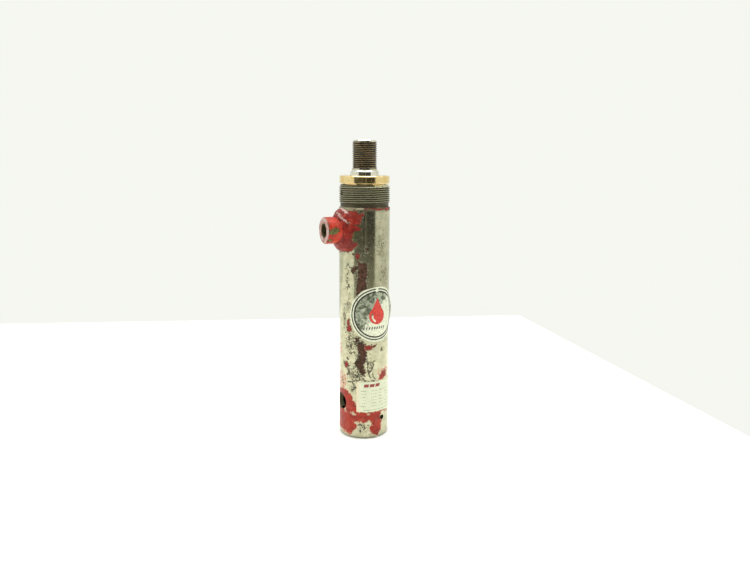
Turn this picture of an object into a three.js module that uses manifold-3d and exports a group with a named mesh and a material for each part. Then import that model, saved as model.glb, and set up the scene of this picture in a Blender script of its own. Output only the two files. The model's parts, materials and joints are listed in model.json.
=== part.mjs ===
// Double-acting hydraulic cylinder with a threaded collar, retracted and standing on its base.
// Millimetres. +Z runs up the cylinder's axis, both oil ports face -X, and the origin is the
// centre of the base face. Pieces that touch in the real cylinder keep a small gap here.

import * as THREE from 'three';
import { mergeVertices } from 'three/addons/utils/BufferGeometryUtils.js';
import Module from 'manifold-3d';

const wasm = await Module();
wasm.setup();

// ---------------------------------------------------------------- driving dimensions

const TUBE_R = 25; // outside of the barrel tube
const BORE_R = 18; // working bore
const ROD_R = 14; // ground piston rod
const STROKE = 125;
const TUBE_TOP = 253.8;

const BASE_THREAD_R = 20; // internal thread that holds the base plug
const BASE_THREAD_TOP = 27;
const GLAND_THREAD_R = 20; // internal thread that holds the gland nut
const GLAND_THREAD_LOW = 229;

const FOOT = [[22.2, 0], [24.1, 0.9], [TUBE_R, 3]]; // rounded lower edge of the tube
const COLLAR = { crest: 24.8, root: 23.55, pitch: 2, low: 235 };
const COLLAR_BLANK = {
  shoulder: 232,
  relief: 23.6,
  reliefTop: 235.6,
  low: 237,
  high: 251.4,
  rim: 23,
};
const STUD = { crest: 11.95, root: 10.8, pitch: 2, low: 269.2 };
const STUD_BLANK = { radius: 12.3, low: 267.4, top: 295.8, chamfer: 1.6 };
const NECK_TOP = 265.9; // the ground rod ends here and tapers to the stud
const CENTRE_HOLE = { mouth: 3, radius: 1.2, depths: [2.5, 4.2, 4.9] }; // in the rod's end

const PORT_ANGLE = Math.PI; // both ports look along -X
const PORT_R = 6.6; // mouth of a 1/4 inch taper pipe thread
const BASE_PORT_Z = 35.7;
const ROD_PORT_Z = 210.1;
const BOSS = { radius: 13, face: 43.3, floor: 29.5 };
const WELD = { toe: 21.4, height: 7.4, bulge: 0.4 };
const SPOT_FACE = { radius: 8.5, depth: 15.4 }; // flat round the base port, seen through the tube
const PASSAGE_R = 3; // drilled oil ways

const LOCK_SCREW = { radius: 2.3, hole: 2.6, inner: 18.1, outer: 23.4 };
const BASE_SCREW = { angle: THREE.MathUtils.degToRad(292), z: 20.4 };
const GLAND_SCREW = { angle: PORT_ANGLE, z: 246 };

const PLUG_TOP = 51.5;
const PLUG_GROOVE = { radius: 15.6, low: 45, high: 49 };
const SPANNER_HOLE = { radius: 2.4, distance: 12, depth: 6 }; // two, in the plug's face
const PISTON = { low: PLUG_TOP + 0.5, radius: 17.6, nose: 16, top: 89 };
const PISTON_SEAL_GROOVE = { radius: 14.6, low: 65, high: 72 };
const WEAR_GROOVES = { radius: 16.6, lower: [54, 59], upper: [74, 78] };
const STUB_R = 9.7; // rod end that carries the piston
const STUB_BORE_R = 10;
const STUB_GROOVE = { radius: 12.1, low: 75, high: 77.4 };
const PISTON_NUT = { acrossFlats: 24, low: 52.8, high: 61.8, pocketR: 15, seat: 62 };
const ROD_SHOULDER = 80; // the rod's shoulder seats here, inside the piston's nose
const STOP_GAP = 0.5; // left between the piston and the guide bush at full stroke
const BUSH_SEAT = { radius: 19, low: PISTON.top + STROKE + STOP_GAP }; // counterbore for the bush
const BUSH_GROOVE = { radius: 16.6, low: 217, high: 220.6 };
const ROD_PACKING = { radius: 17.5, low: 223.4, high: 229.4 }; // room for the rod seal
const FLANGE = { radius: 24.4, low: 254.8, top: 262.2 }; // brass flange of the gland nut
const GLAND_LOW = 229.6;
const WIPER = { outer: 17.1, low: 256.6, shoulder: 261, lip: 14.9 };
const PIN_HOLE = { radius: 2, distance: 20.3, depth: 4 }; // four, in the flange

const DECAL = { angle: THREE.MathUtils.degToRad(275), z: 128.6, radius: 28 };
const LABEL = { left: THREE.MathUtils.degToRad(228), z: 44.2, width: 60, height: 31.3 };
const SHEET = { radius: TUBE_R + 0.3, thickness: 0.3 };

const SIDES = 36; // facets round the tube, the rod and what screws into the tube
const RING_SIDES = 24; // facets round the piston, bush, seals and rings
const SMALL_SIDES = 20; // facets round the ports and oil ways
const GAP = 0.2; // between pieces that touch, and between pieces that run on each other
const CHAMFER = 0.8;
const BEYOND = 5; // how far a cutting solid reaches past what it cuts
const MERGE = 1e-4;

// ---------------------------------------------------------------- materials

const look = (color, roughness, metalness) => (
  new THREE.MeshStandardMaterial({ color, roughness, metalness })
);
const PLATED_STEEL = look(0xc2c1ab, 0.32, 1);
const GROUND_ROD = look(0xcfcfca, 0.15, 1);
const DARK_STEEL = look(0x4d483c, 0.45, 1);
const MACHINED_STEEL = look(0x8f8f8a, 0.35, 1);
const RED_PAINT = look(0xa52a22, 0.45, 0.1);
const BRASS = look(0xc9a253, 0.28, 1);
const BRONZE = look(0x9a6b3c, 0.4, 1);
const RUBBER = look(0x1d1d1e, 0.7, 0);
const POLYURETHANE = look(0x2f5f87, 0.5, 0);
const PTFE = look(0xdcd6c8, 0.5, 0);
const FOIL = look(0xe2e5de, 0.3, 0.2);
const PAPER = look(0xefeee6, 0.6, 0);

// ---------------------------------------------------------------- solids

// A closed three.js geometry as a solid that can be joined and cut.
function toSolid(geometry) {
  geometry.deleteAttribute('normal');
  geometry.deleteAttribute('uv');
  const merged = mergeVertices(geometry, MERGE);
  const corners = merged.index.array;
  const triangles = [];
  for (let i = 0; i < corners.length; i += 3) {
    const [a, b, c] = corners.slice(i, i + 3);
    if (a !== b && b !== c && c !== a) triangles.push(a, b, c);
  }
  return new wasm.Manifold(new wasm.Mesh({
    numProp: 3,
    vertProperties: Float32Array.from(merged.attributes.position.array),
    triVerts: Uint32Array.from(triangles),
  }));
}

// The named mesh of one finished piece.
function piece(name, solid, material) {
  const { vertProperties, triVerts } = solid.getMesh();
  const geometry = new THREE.BufferGeometry();
  geometry.setAttribute('position', new THREE.BufferAttribute(vertProperties, 3));
  geometry.setIndex(new THREE.BufferAttribute(triVerts, 1));
  geometry.computeVertexNormals();
  const mesh = new THREE.Mesh(geometry, material);
  mesh.name = name;
  return mesh;
}

// Profiles list [radius, height] with the material on their left: up the outside, down the
// inside. A profile that leaves the axis closes on itself.
function latheGeometry(profile, sides) {
  const points = profile.map(([radius, height]) => new THREE.Vector2(radius, height));
  if (points[0].x > 0) points.push(points[0].clone());
  return new THREE.LatheGeometry(points, sides);
}

// Turned about the cylinder's axis.
function turned(profile, sides = SIDES) {
  return toSolid(latheGeometry(profile, sides).rotateX(Math.PI / 2));
}

// Turned about a line that leaves the cylinder's axis at `height` in the direction `angle`.
// The profile's heights are distances from the cylinder's axis.
function turnedOutward(profile, angle, height, sides = SMALL_SIDES) {
  const geometry = latheGeometry(profile, sides);
  geometry.rotateZ(angle - Math.PI / 2);
  geometry.translate(0, 0, height);
  return toSolid(geometry);
}

function upright(radius, low, high, sides = SIDES) {
  return turned([[0, low], [radius, low], [radius, high], [0, high]], sides);
}

function outward(radius, from, to, angle, height, sides = SMALL_SIDES) {
  return turnedOutward([[0, from], [radius, from], [radius, to], [0, to]], angle, height, sides);
}

// A flat ring between two radii and two heights.
function ring(inner, outer, low, high) {
  return turned([[inner, low], [outer, low], [outer, high], [inner, high]], RING_SIDES);
}

// A ring of round section.
function roundRing(centreRadius, sectionRadius, height) {
  const corners = 6;
  const profile = [];
  for (let i = 0; i < corners; i += 1) {
    const turn = (2 * Math.PI * i) / corners;
    profile.push([
      centreRadius + sectionRadius * Math.cos(turn),
      height + sectionRadius * Math.sin(turn),
    ]);
  }
  return turned(profile, RING_SIDES);
}

// A blind hole along Z at a distance from the axis.
function pinHole(radius, distance, angle, low, high) {
  const hole = new THREE.CylinderGeometry(radius, radius, high - low, 16);
  hole.rotateX(Math.PI / 2);
  hole.translate(distance * Math.cos(angle), distance * Math.sin(angle), (low + high) / 2);
  return toSolid(hole);
}

// A bar along Z whose whole length carries a right-hand helical ridge.
function threadedBar({ crest, root, pitch, low }, high, sides) {
  const profile = [
    { share: 0, radius: root },
    { share: 0.42, radius: crest },
    { share: 0.58, radius: crest },
  ];
  const steps = profile.length * Math.ceil((high - low) / pitch);
  const positions = [];
  const columns = [];
  for (let side = 0; side < sides; side += 1) {
    const turn = (2 * Math.PI * side) / sides;
    const last = side === 0 ? steps + profile.length : steps;
    columns.push([]);
    for (let step = 0; step <= last; step += 1) {
      const { share, radius } = profile[step % profile.length];
      const turns = Math.floor(step / profile.length) + share + side / sides;
      columns[side].push(positions.length / 3);
      positions.push(radius * Math.cos(turn), radius * Math.sin(turn), low + pitch * turns);
    }
  }
  // The last column meets the first one a full pitch further up.
  columns.push(columns[0].slice(profile.length));

  const index = [];
  for (let side = 0; side < sides; side += 1) {
    for (let step = 0; step < steps; step += 1) {
      const [a, d] = columns[side].slice(step, step + 2);
      const [b, c] = columns[side + 1].slice(step, step + 2);
      index.push(a, b, c, a, c, d);
    }
  }
  const around = columns.slice(0, sides);
  const seam = columns[0];
  const bottom = around.map((column) => column[0]);
  bottom.push(...seam.slice(1, profile.length + 1).reverse());
  const top = around.map((column) => column[steps]).reverse();
  top.push(...seam.slice(steps + 1));
  for (const [rim, tip] of [[bottom, low - pitch], [top, high + 3 * pitch]]) {
    const centre = positions.length / 3;
    positions.push(0, 0, tip);
    rim.forEach((corner, i) => index.push(centre, rim[(i + 1) % rim.length], corner));
  }
  const geometry = new THREE.BufferGeometry();
  geometry.setAttribute('position', new THREE.Float32BufferAttribute(positions, 3));
  geometry.setIndex(index);
  return toSolid(geometry);
}

// Cuts a thread into everything of a blank that stands above the thread's lower end.
function withThread(blank, thread, high, sides) {
  const sleeve = upright(TUBE_R + BEYOND, thread.low, high, 16);
  const bar = threadedBar({ ...thread, low: thread.low - 2 * thread.pitch }, high, sides);
  return blank.subtract(sleeve.subtract(bar));
}

// Rolls a flat sheet, lying in XY with its thickness along Z, onto the tube: X becomes arc
// length, Y becomes height, and `lift` says how far a point has peeled off the surface.
function wrapped(flat, angle, height, lift = () => 0) {
  const position = flat.attributes.position;
  for (let i = 0; i < position.count; i += 1) {
    const [x, y, z] = [position.getX(i), position.getY(i), position.getZ(i)];
    const radius = SHEET.radius + z + lift(x, y);
    const turn = angle + x / SHEET.radius;
    position.setXYZ(i, radius * Math.cos(turn), radius * Math.sin(turn), height + y);
  }
  return toSolid(flat);
}

// ---------------------------------------------------------------- barrel

function cylinderTube() {
  const blank = turned([
    [BASE_THREAD_R, 0],
    ...FOOT,
    [TUBE_R, COLLAR_BLANK.shoulder - CHAMFER],
    [TUBE_R - 0.6, COLLAR_BLANK.shoulder],
    [COLLAR_BLANK.relief, COLLAR_BLANK.shoulder],
    [COLLAR_BLANK.relief, COLLAR_BLANK.reliefTop],
    [TUBE_R + 0.1, COLLAR_BLANK.low],
    [TUBE_R + 0.1, COLLAR_BLANK.high],
    [COLLAR_BLANK.rim, TUBE_TOP],
    [GLAND_THREAD_R + CHAMFER, TUBE_TOP],
    [GLAND_THREAD_R, TUBE_TOP - CHAMFER],
    [GLAND_THREAD_R, GLAND_THREAD_LOW],
    [BUSH_SEAT.radius, GLAND_THREAD_LOW],
    [BUSH_SEAT.radius, BUSH_SEAT.low],
    [BORE_R, BUSH_SEAT.low],
    [BORE_R, BASE_THREAD_TOP],
    [BASE_THREAD_R, BASE_THREAD_TOP],
  ]);
  return withThread(blank, COLLAR, TUBE_TOP + 1, 24)
    .subtract(outward(SPOT_FACE.radius, 10, TUBE_R + BEYOND, PORT_ANGLE, BASE_PORT_Z, 24))
    .subtract(outward(PASSAGE_R, 10, TUBE_R + BEYOND, PORT_ANGLE, ROD_PORT_Z))
    .subtract(lockScrewHole(BASE_SCREW))
    .subtract(lockScrewHole(GLAND_SCREW));
}

function basePlug() {
  const blank = turned([
    [0, 0],
    [BASE_THREAD_R - GAP - 0.6, 0],
    [BASE_THREAD_R - GAP, 0.6],
    [BASE_THREAD_R - GAP, BASE_THREAD_TOP - GAP],
    [BORE_R - GAP, BASE_THREAD_TOP - GAP],
    [BORE_R - GAP, PLUG_GROOVE.low],
    [PLUG_GROOVE.radius, PLUG_GROOVE.low],
    [PLUG_GROOVE.radius, PLUG_GROOVE.high],
    [BORE_R - GAP, PLUG_GROOVE.high],
    [BORE_R - GAP, PLUG_TOP - CHAMFER],
    [BORE_R - GAP - CHAMFER, PLUG_TOP],
    [0, PLUG_TOP],
  ]);
  const spannerHole = (side) => (
    pinHole(SPANNER_HOLE.radius, SPANNER_HOLE.distance, side * Math.PI / 2, -1, SPANNER_HOLE.depth)
  );
  return blank
    .subtract(outward(SPOT_FACE.radius, SPOT_FACE.depth, 20, PORT_ANGLE, BASE_PORT_Z, 24))
    .subtract(outward(PORT_R, 5, 20, PORT_ANGLE, BASE_PORT_Z))
    .subtract(outward(PASSAGE_R, -PASSAGE_R, 6, PORT_ANGLE, BASE_PORT_Z))
    .subtract(upright(PASSAGE_R, BASE_PORT_Z, PLUG_TOP + 1, SMALL_SIDES))
    .subtract(lockScrewHole(BASE_SCREW))
    .subtract(spannerHole(1))
    .subtract(spannerHole(-1));
}

// What the pieces fixed to the tube's outside must stay clear of.
function tubeSpace() {
  return upright(TUBE_R + GAP, 0, TUBE_TOP);
}

function portBoss() {
  const mouth = 0.7;
  const body = turnedOutward([
    [PASSAGE_R, 15],
    [BOSS.radius, 15],
    [BOSS.radius, BOSS.face - 1],
    [BOSS.radius - 1, BOSS.face],
    [PORT_R + mouth, BOSS.face],
    [PORT_R, BOSS.face - mouth],
    [PORT_R - 0.4, BOSS.floor],
    [PASSAGE_R, BOSS.floor - 1.5],
  ], PORT_ANGLE, ROD_PORT_Z, 28);
  return body.subtract(tubeSpace());
}

// The bulging weld that joins the boss to the tube. Its height is measured from the tube's
// surface, so it follows the saddle where the two cylinders meet.
function bossWeld() {
  const around = 28;
  const inner = BOSS.radius + GAP;
  const arcSteps = 4;
  const section = [{ radius: inner, rise: -8 }, { radius: WELD.toe, rise: -8 }];
  for (let i = 0; i <= arcSteps; i += 1) {
    const share = i / arcSteps;
    const turn = (Math.PI / 2) * share;
    const flare = THREE.MathUtils.lerp(1 - share, Math.cos(turn), WELD.bulge);
    const rise = WELD.height * THREE.MathUtils.lerp(share, Math.sin(turn), WELD.bulge);
    section.push({ radius: inner + (WELD.toe - inner) * flare, rise });
  }
  const positions = [];
  const index = [];
  for (let i = 0; i < around; i += 1) {
    const turn = (2 * Math.PI * i) / around;
    const next = (i + 1) % around;
    section.forEach(({ radius, rise }, k) => {
      const [sideways, up] = [radius * Math.sin(turn), radius * Math.cos(turn)];
      const distance = Math.sqrt(TUBE_R ** 2 - sideways ** 2) + rise;
      positions.push(-distance, sideways, ROD_PORT_Z + up);
      const after = (k + 1) % section.length;
      const [a, b] = [i * section.length + k, i * section.length + after];
      const [c, d] = [next * section.length + after, next * section.length + k];
      index.push(a, c, b, a, d, c);
    });
  }
  const geometry = new THREE.BufferGeometry();
  geometry.setAttribute('position', new THREE.Float32BufferAttribute(positions, 3));
  geometry.setIndex(index);
  return toSolid(geometry).subtract(tubeSpace());
}

function lockScrewHole({ angle, z }) {
  return outward(LOCK_SCREW.hole, LOCK_SCREW.inner - 0.3, TUBE_R + BEYOND, angle, z, 16);
}

function lockScrew({ angle, z }) {
  const { radius, inner, outer } = LOCK_SCREW;
  const shank = turnedOutward(
    [[0, inner], [radius - 0.6, inner], [radius, inner + 0.6], [radius, outer], [0, outer]],
    angle,
    z,
    16,
  );
  return shank.subtract(outward(1.4, outer - 2, outer + 1, angle, z, 6));
}

function guideBush() {
  const outer = BUSH_SEAT.radius - 0.15;
  return turned([
    [ROD_R + GAP, BUSH_SEAT.low + GAP],
    [outer, BUSH_SEAT.low + GAP],
    [outer, BUSH_GROOVE.low],
    [BUSH_GROOVE.radius, BUSH_GROOVE.low],
    [BUSH_GROOVE.radius, BUSH_GROOVE.high],
    [outer, BUSH_GROOVE.high],
    [outer, ROD_PACKING.high],
    [ROD_PACKING.radius, ROD_PACKING.high],
    [ROD_PACKING.radius, ROD_PACKING.low],
    [ROD_R + GAP, ROD_PACKING.low],
  ], RING_SIDES);
}

// U-section packing, open towards the oil.
function rodSeal() {
  return turned([
    [ROD_R + GAP, 223.6],
    [14.9, 223.6],
    [15.4, 225.6],
    [16.1, 225.6],
    [16.6, 223.6],
    [17.35, 223.6],
    [17.35, 227.4],
    [ROD_R + GAP, 227.4],
  ], RING_SIDES);
}

function glandNut() {
  const body = GLAND_THREAD_R - GAP;
  const blank = turned([
    [ROD_R + 0.3, GLAND_LOW],
    [body - CHAMFER, GLAND_LOW],
    [body, GLAND_LOW + CHAMFER],
    [body, TUBE_TOP - 0.6],
    [body - CHAMFER, TUBE_TOP],
    [body - CHAMFER, FLANGE.low],
    [FLANGE.radius - 0.3, FLANGE.low],
    [FLANGE.radius, FLANGE.low + 0.4],
    [FLANGE.radius, FLANGE.top - CHAMFER],
    [FLANGE.radius - CHAMFER, FLANGE.top],
    [WIPER.lip + GAP, FLANGE.top],
    [WIPER.lip + GAP, WIPER.shoulder + GAP],
    [WIPER.outer + GAP, WIPER.shoulder + GAP],
    [WIPER.outer + GAP, WIPER.low - GAP],
    [ROD_R + 0.3, WIPER.low - GAP],
  ]);
  let nut = blank.subtract(lockScrewHole(GLAND_SCREW));
  for (let i = 0; i < 4; i += 1) {
    const angle = Math.PI / 4 + (i * Math.PI) / 2;
    const floor = FLANGE.top - PIN_HOLE.depth;
    nut = nut.subtract(pinHole(PIN_HOLE.radius, PIN_HOLE.distance, angle, floor, FLANGE.top + 1));
  }
  return nut;
}

function rodWiper() {
  return turned([
    [ROD_R + GAP, WIPER.low],
    [WIPER.outer, WIPER.low],
    [WIPER.outer, WIPER.shoulder],
    [WIPER.lip, WIPER.shoulder],
    [WIPER.lip, FLANGE.top - GAP],
    [ROD_R + GAP, FLANGE.top],
  ], RING_SIDES);
}

// A thin round foil, with its edge away from the ports peeling off the tube.
function roundDecal() {
  const rings = 5;
  const profile = [];
  for (let i = 0; i <= rings; i += 1) {
    profile.push([(DECAL.radius * i) / rings, 0]);
  }
  for (let i = rings; i >= 0; i -= 1) {
    profile.push([(DECAL.radius * i) / rings, SHEET.thickness]);
  }
  const disc = latheGeometry(profile, 30).rotateX(Math.PI / 2);
  const peel = { start: 20, height: 2.2, middle: 2, spread: 13 };
  const lift = (x, y) => (
    peel.height * THREE.MathUtils.smoothstep(x, peel.start, DECAL.radius)
    * Math.exp(-(((y - peel.middle) / peel.spread) ** 2))
  );
  return wrapped(disc, DECAL.angle, DECAL.z, lift);
}

function ratingLabel() {
  const sheet = new THREE.BoxGeometry(LABEL.width, LABEL.height, SHEET.thickness, 16, 1, 1);
  sheet.translate(0, 0, SHEET.thickness / 2);
  return wrapped(sheet, LABEL.left + LABEL.width / 2 / SHEET.radius, LABEL.z);
}

// ---------------------------------------------------------------- rod and piston

function pistonRod() {
  const { radius, low, top, chamfer } = STUD_BLANK;
  const [coneFoot, wallFoot, tip] = CENTRE_HOLE.depths;
  const stubLow = PISTON.low + 1;
  const blank = turned([
    [0, stubLow],
    [STUB_R - CHAMFER, stubLow],
    [STUB_R, stubLow + CHAMFER],
    [STUB_R, ROD_SHOULDER + GAP],
    [ROD_R, ROD_SHOULDER + GAP],
    [ROD_R, NECK_TOP],
    [radius, low],
    [radius, top - chamfer],
    [radius - chamfer, top],
    [CENTRE_HOLE.mouth, top],
    [CENTRE_HOLE.radius, top - coneFoot],
    [CENTRE_HOLE.radius, top - wallFoot],
    [0, top - tip],
  ]);
  return withThread(blank, STUD, top + 1, SMALL_SIDES);
}

function piston() {
  const { low, radius, nose, top } = PISTON;
  const body = ROD_SHOULDER + GAP; // top of the piston's widest part
  const groove = ([from, to], floor) => (
    [[radius, from], [floor, from], [floor, to], [radius, to]]
  );
  return turned([
    [PISTON_NUT.pocketR, low],
    [radius - 0.6, low],
    [radius, low + 0.6],
    ...groove(WEAR_GROOVES.lower, WEAR_GROOVES.radius),
    ...groove([PISTON_SEAL_GROOVE.low, PISTON_SEAL_GROOVE.high], PISTON_SEAL_GROOVE.radius),
    ...groove(WEAR_GROOVES.upper, WEAR_GROOVES.radius),
    [radius, body - 0.6],
    [radius - 0.6, body],
    [nose, body],
    [nose, top - CHAMFER],
    [nose - CHAMFER, top],
    [ROD_R + 0.3, top],
    [ROD_R + 0.3, ROD_SHOULDER],
    [STUB_BORE_R, ROD_SHOULDER],
    [STUB_BORE_R, STUB_GROOVE.high],
    [STUB_GROOVE.radius, STUB_GROOVE.high],
    [STUB_GROOVE.radius, STUB_GROOVE.low],
    [STUB_BORE_R, STUB_GROOVE.low],
    [STUB_BORE_R, PISTON_NUT.seat],
    [PISTON_NUT.pocketR, PISTON_NUT.seat],
  ], RING_SIDES);
}

function pistonNut() {
  const { acrossFlats, low, high } = PISTON_NUT;
  const hexagon = upright(acrossFlats / Math.sqrt(3), low, high, 6);
  return hexagon.subtract(upright(STUB_BORE_R, low - 1, high + 1, RING_SIDES));
}

// ---------------------------------------------------------------- assembly

const SEAL_R = BORE_R - GAP;

const barrel = new THREE.Group();
barrel.add(
  piece('cylinder_tube', cylinderTube(), PLATED_STEEL),
  piece('base_plug', basePlug(), MACHINED_STEEL),
  piece('base_o_ring', roundRing(16.75, 0.95, 46.1), RUBBER),
  piece('base_backup_ring', ring(15.8, SEAL_R, 47.3, 48.8), PTFE),
  piece('base_lock_screw', lockScrew(BASE_SCREW), DARK_STEEL),
  piece('port_boss', portBoss(), RED_PAINT),
  piece('boss_weld', bossWeld(), RED_PAINT),
  piece('guide_bush', guideBush(), BRONZE),
  piece('guide_o_ring', roundRing(17.75, 0.95, 218.1), RUBBER),
  piece('guide_backup_ring', ring(16.8, 18.7, 219.25, 220.4), PTFE),
  piece('rod_seal', rodSeal(), POLYURETHANE),
  piece('rod_seal_backup', ring(ROD_R + GAP, 17.3, 227.6, 229.2), PTFE),
  piece('gland_nut', glandNut(), BRASS),
  piece('rod_wiper', rodWiper(), RUBBER),
  piece('gland_lock_screw', lockScrew(GLAND_SCREW), DARK_STEEL),
  piece('round_decal', roundDecal(), FOIL),
  piece('rating_label', ratingLabel(), PAPER),
);

const pistonSeals = new THREE.Group();
pistonSeals.add(
  piece('piston_seal', ring(14.8, SEAL_R, 66.7, 70.3), POLYURETHANE),
  piece('piston_backup_lower', ring(14.8, SEAL_R, 65.2, 66.5), PTFE),
  piece('piston_backup_upper', ring(14.8, SEAL_R, 70.5, 71.8), PTFE),
  piece('wear_ring_lower', ring(16.8, SEAL_R, 54.2, 58.8), BRONZE),
  piece('wear_ring_upper', ring(16.8, SEAL_R, 74.2, 77.8), BRONZE),
);

const rod = new THREE.Group();
rod.add(
  piece('piston_rod', pistonRod(), GROUND_ROD),
  piece('piston', piston(), MACHINED_STEEL),
  piece('piston_o_ring', roundRing(10.95, 0.95, 76.2), RUBBER),
  piece('piston_nut', pistonNut(), DARK_STEEL),
);

const hydraulicCylinder = new THREE.Group();
hydraulicCylinder.add(barrel, pistonSeals, rod);

export default hydraulicCylinder;
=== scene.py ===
# Looks for a small, worn hydraulic cylinder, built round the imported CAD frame.
#
# Lengths here are millimetres unless a name ends in _M, and meshes are scaled to metres as they
# are made. `alpha` is an angle in degrees round the tube, from the side that faces the camera,
# positive to the right. Worn areas are drawn on the tube's unrolled skin as (alpha, height).

import json
import math

import bmesh
import bpy
import numpy as np
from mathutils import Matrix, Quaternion, Vector


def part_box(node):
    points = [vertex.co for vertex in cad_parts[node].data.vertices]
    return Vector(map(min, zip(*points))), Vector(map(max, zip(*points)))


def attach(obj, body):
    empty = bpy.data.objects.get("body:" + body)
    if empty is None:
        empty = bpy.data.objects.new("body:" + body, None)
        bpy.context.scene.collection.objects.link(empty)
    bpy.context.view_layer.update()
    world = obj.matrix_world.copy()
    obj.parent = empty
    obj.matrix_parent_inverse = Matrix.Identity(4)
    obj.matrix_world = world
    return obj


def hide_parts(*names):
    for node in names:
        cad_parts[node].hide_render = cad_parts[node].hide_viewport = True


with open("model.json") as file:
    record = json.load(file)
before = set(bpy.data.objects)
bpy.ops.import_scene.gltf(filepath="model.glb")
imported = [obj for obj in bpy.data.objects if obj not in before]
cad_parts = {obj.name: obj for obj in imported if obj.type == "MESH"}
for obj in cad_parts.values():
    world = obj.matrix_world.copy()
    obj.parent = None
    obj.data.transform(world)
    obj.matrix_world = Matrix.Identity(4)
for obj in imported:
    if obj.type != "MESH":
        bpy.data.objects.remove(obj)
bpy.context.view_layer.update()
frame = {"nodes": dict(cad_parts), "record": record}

MM = 0.001
TAU = 2 * math.pi
FRONT_DEG = 245.0  # the row-frame angle of the side that faces the camera
SMOOTH_DEG = 32.0
SAME_PLACE_M = 1e-7
FILLET_POINTS = 5
FAR_OFF = 1e9
TINY = 1e-12
NOISE_CELLS = 64
FIELD_REACH = 8  # distance fields stop here, in millimetres


def box_mm(node):
    low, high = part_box(node)
    return np.array(low) / MM, np.array(high) / MM


# ---------------------------------------------------------------- dimensions, as in the CAD

TUBE_R = 25.0
TUBE_TOP = box_mm("cylinder_tube")[1][2]
BORE_R = 18.0
ROD_R = 14.0
GAP = 0.2
THREAD_R = 20.0  # internal threads at both ends of the tube
BASE_THREAD_TOP = 27.0
GLAND_THREAD_LOW = 229.0
BUSH_SEAT = (19.0, 214.5)
SHOULDER = 232.0
RELIEF_R = 23.6
RELIEF_TOP = 235.6
COLLAR = {"crest": 24.8, "root": 23.55, "pitch": 2.0, "low": 235.0}
STUD = {"crest": 11.95, "root": 10.8, "pitch": 2.0, "low": 269.2}
STUD_R = 12.3
STUD_LOW = 267.4
STUD_CHAMFER = 1.6
NECK_TOP = 265.9
ROD_TOP = box_mm("piston_rod")[1][2]
ROD_LOW = box_mm("piston_rod")[0][2]
ROD_SHOULDER = 80.2
STUB_R = 9.7

PORT_DEG = 180.0
PORT_R = 6.6
PORT_PITCH = 1.337
PASSAGE_R = 3.0
BASE_PORT_Z = 35.7
ROD_PORT_Z = 210.1
BOSS_R = 13.0
BOSS_FACE = -box_mm("port_boss")[0][0]
BOSS_FLOOR = 29.5
BOSS_SEAT = 15.0  # below the tube's skin, and lifted to follow it
WELD_TOE = 21.4
WELD_HEIGHT = 7.4
WELD_BULGE = 0.4
SPOT_R = 8.5
SPOT_DEPTH = 15.4
SCREW_HOLE_R = 2.6
BASE_SCREW = (292.0, 20.4)
GLAND_SCREW = (180.0, 246.0)
FLANGE_R = 24.4
FLANGE_LOW = 254.8
FLANGE_TOP = 262.2
PLUG_TOP = 51.5

DECAL_DEG = 275.0
DECAL_Z = 128.6
DECAL_R = 28.0
LABEL_LEFT_DEG = 228.0
LABEL_Z = 44.2
LABEL_SIZE = (60.0, 31.3)
SHEET_R = 25.08
SHEET_T = 0.16


# ---------------------------------------------------------------- meshes

def linked(name, data):
    obj = bpy.data.objects.new(name, data)
    bpy.context.scene.collection.objects.link(obj)
    return obj


def mesh_object(name, points, faces):
    """A mesh object from points in metres."""
    mesh = bpy.data.meshes.new(name)
    mesh.from_pydata(points, [], faces)
    return linked(name, mesh)


def new_object(name, xyz, faces):
    """A mesh object from points in millimetres."""
    return mesh_object(name, (np.asarray(xyz) * MM).tolist(), faces)


def round_axis(away, turn, height):
    """Points from their distance to the axis, the angle round it and their height."""
    return np.stack([away * np.cos(turn), away * np.sin(turn), height], -1)


def grid_faces(rows, columns, wrap_rows, wrap_columns):
    """Quads over a grid of points, the columns running round and the rows along the profile."""
    i = np.arange(rows if wrap_rows else rows - 1)
    j = np.arange(columns if wrap_columns else columns - 1)
    i, j = np.meshgrid(i, j, indexing="ij")
    after_i = (i + 1) % rows
    after_j = (j + 1) % columns
    corners = [(i, j), (i, after_j), (after_i, after_j), (after_i, j)]
    return np.stack([a * columns + b for a, b in corners], -1).reshape(-1, 4).tolist()


def cut_corner(before, here, after, fillet):
    """The points that round off one corner of a profile."""
    if fillet <= 0:
        return [here]
    back, ahead = before - here, after - here
    reach_back, reach_ahead = np.linalg.norm(back), np.linalg.norm(ahead)
    turn = math.acos(np.clip(back @ ahead / (reach_back * reach_ahead), -1, 1))
    run = min(fillet / math.tan(turn / 2), 0.49 * reach_back, 0.49 * reach_ahead)
    start, end = here + back * run / reach_back, here + ahead * run / reach_ahead
    shares = np.linspace(0, 1, FILLET_POINTS)
    return [start * (1 - t) ** 2 + here * 2 * t * (1 - t) + end * t * t for t in shares]


def profile_points(corners, step, closed=True):
    """A profile from (radius, height, fillet) corners, in pieces no longer than step(point)."""
    points = []
    count = len(corners)
    spots = [np.array(c[:2], float) for c in corners]
    for i, corner in enumerate(corners):
        fillet = corner[2] if len(corner) > 2 else 0.0
        if not closed and i in (0, count - 1):
            fillet = 0.0
        points += cut_corner(spots[i - 1], spots[i], spots[(i + 1) % count], fillet)
    fine = []
    for i, a in enumerate(points):
        if i == len(points) - 1 and not closed:
            fine.append(a)
            break
        b = points[(i + 1) % len(points)]
        parts = max(1, math.ceil(np.linalg.norm(b - a) / step((a + b) / 2) - 1e-6))
        fine += [a + (b - a) * k / parts for k in range(parts)]
    return np.array(fine)


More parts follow.
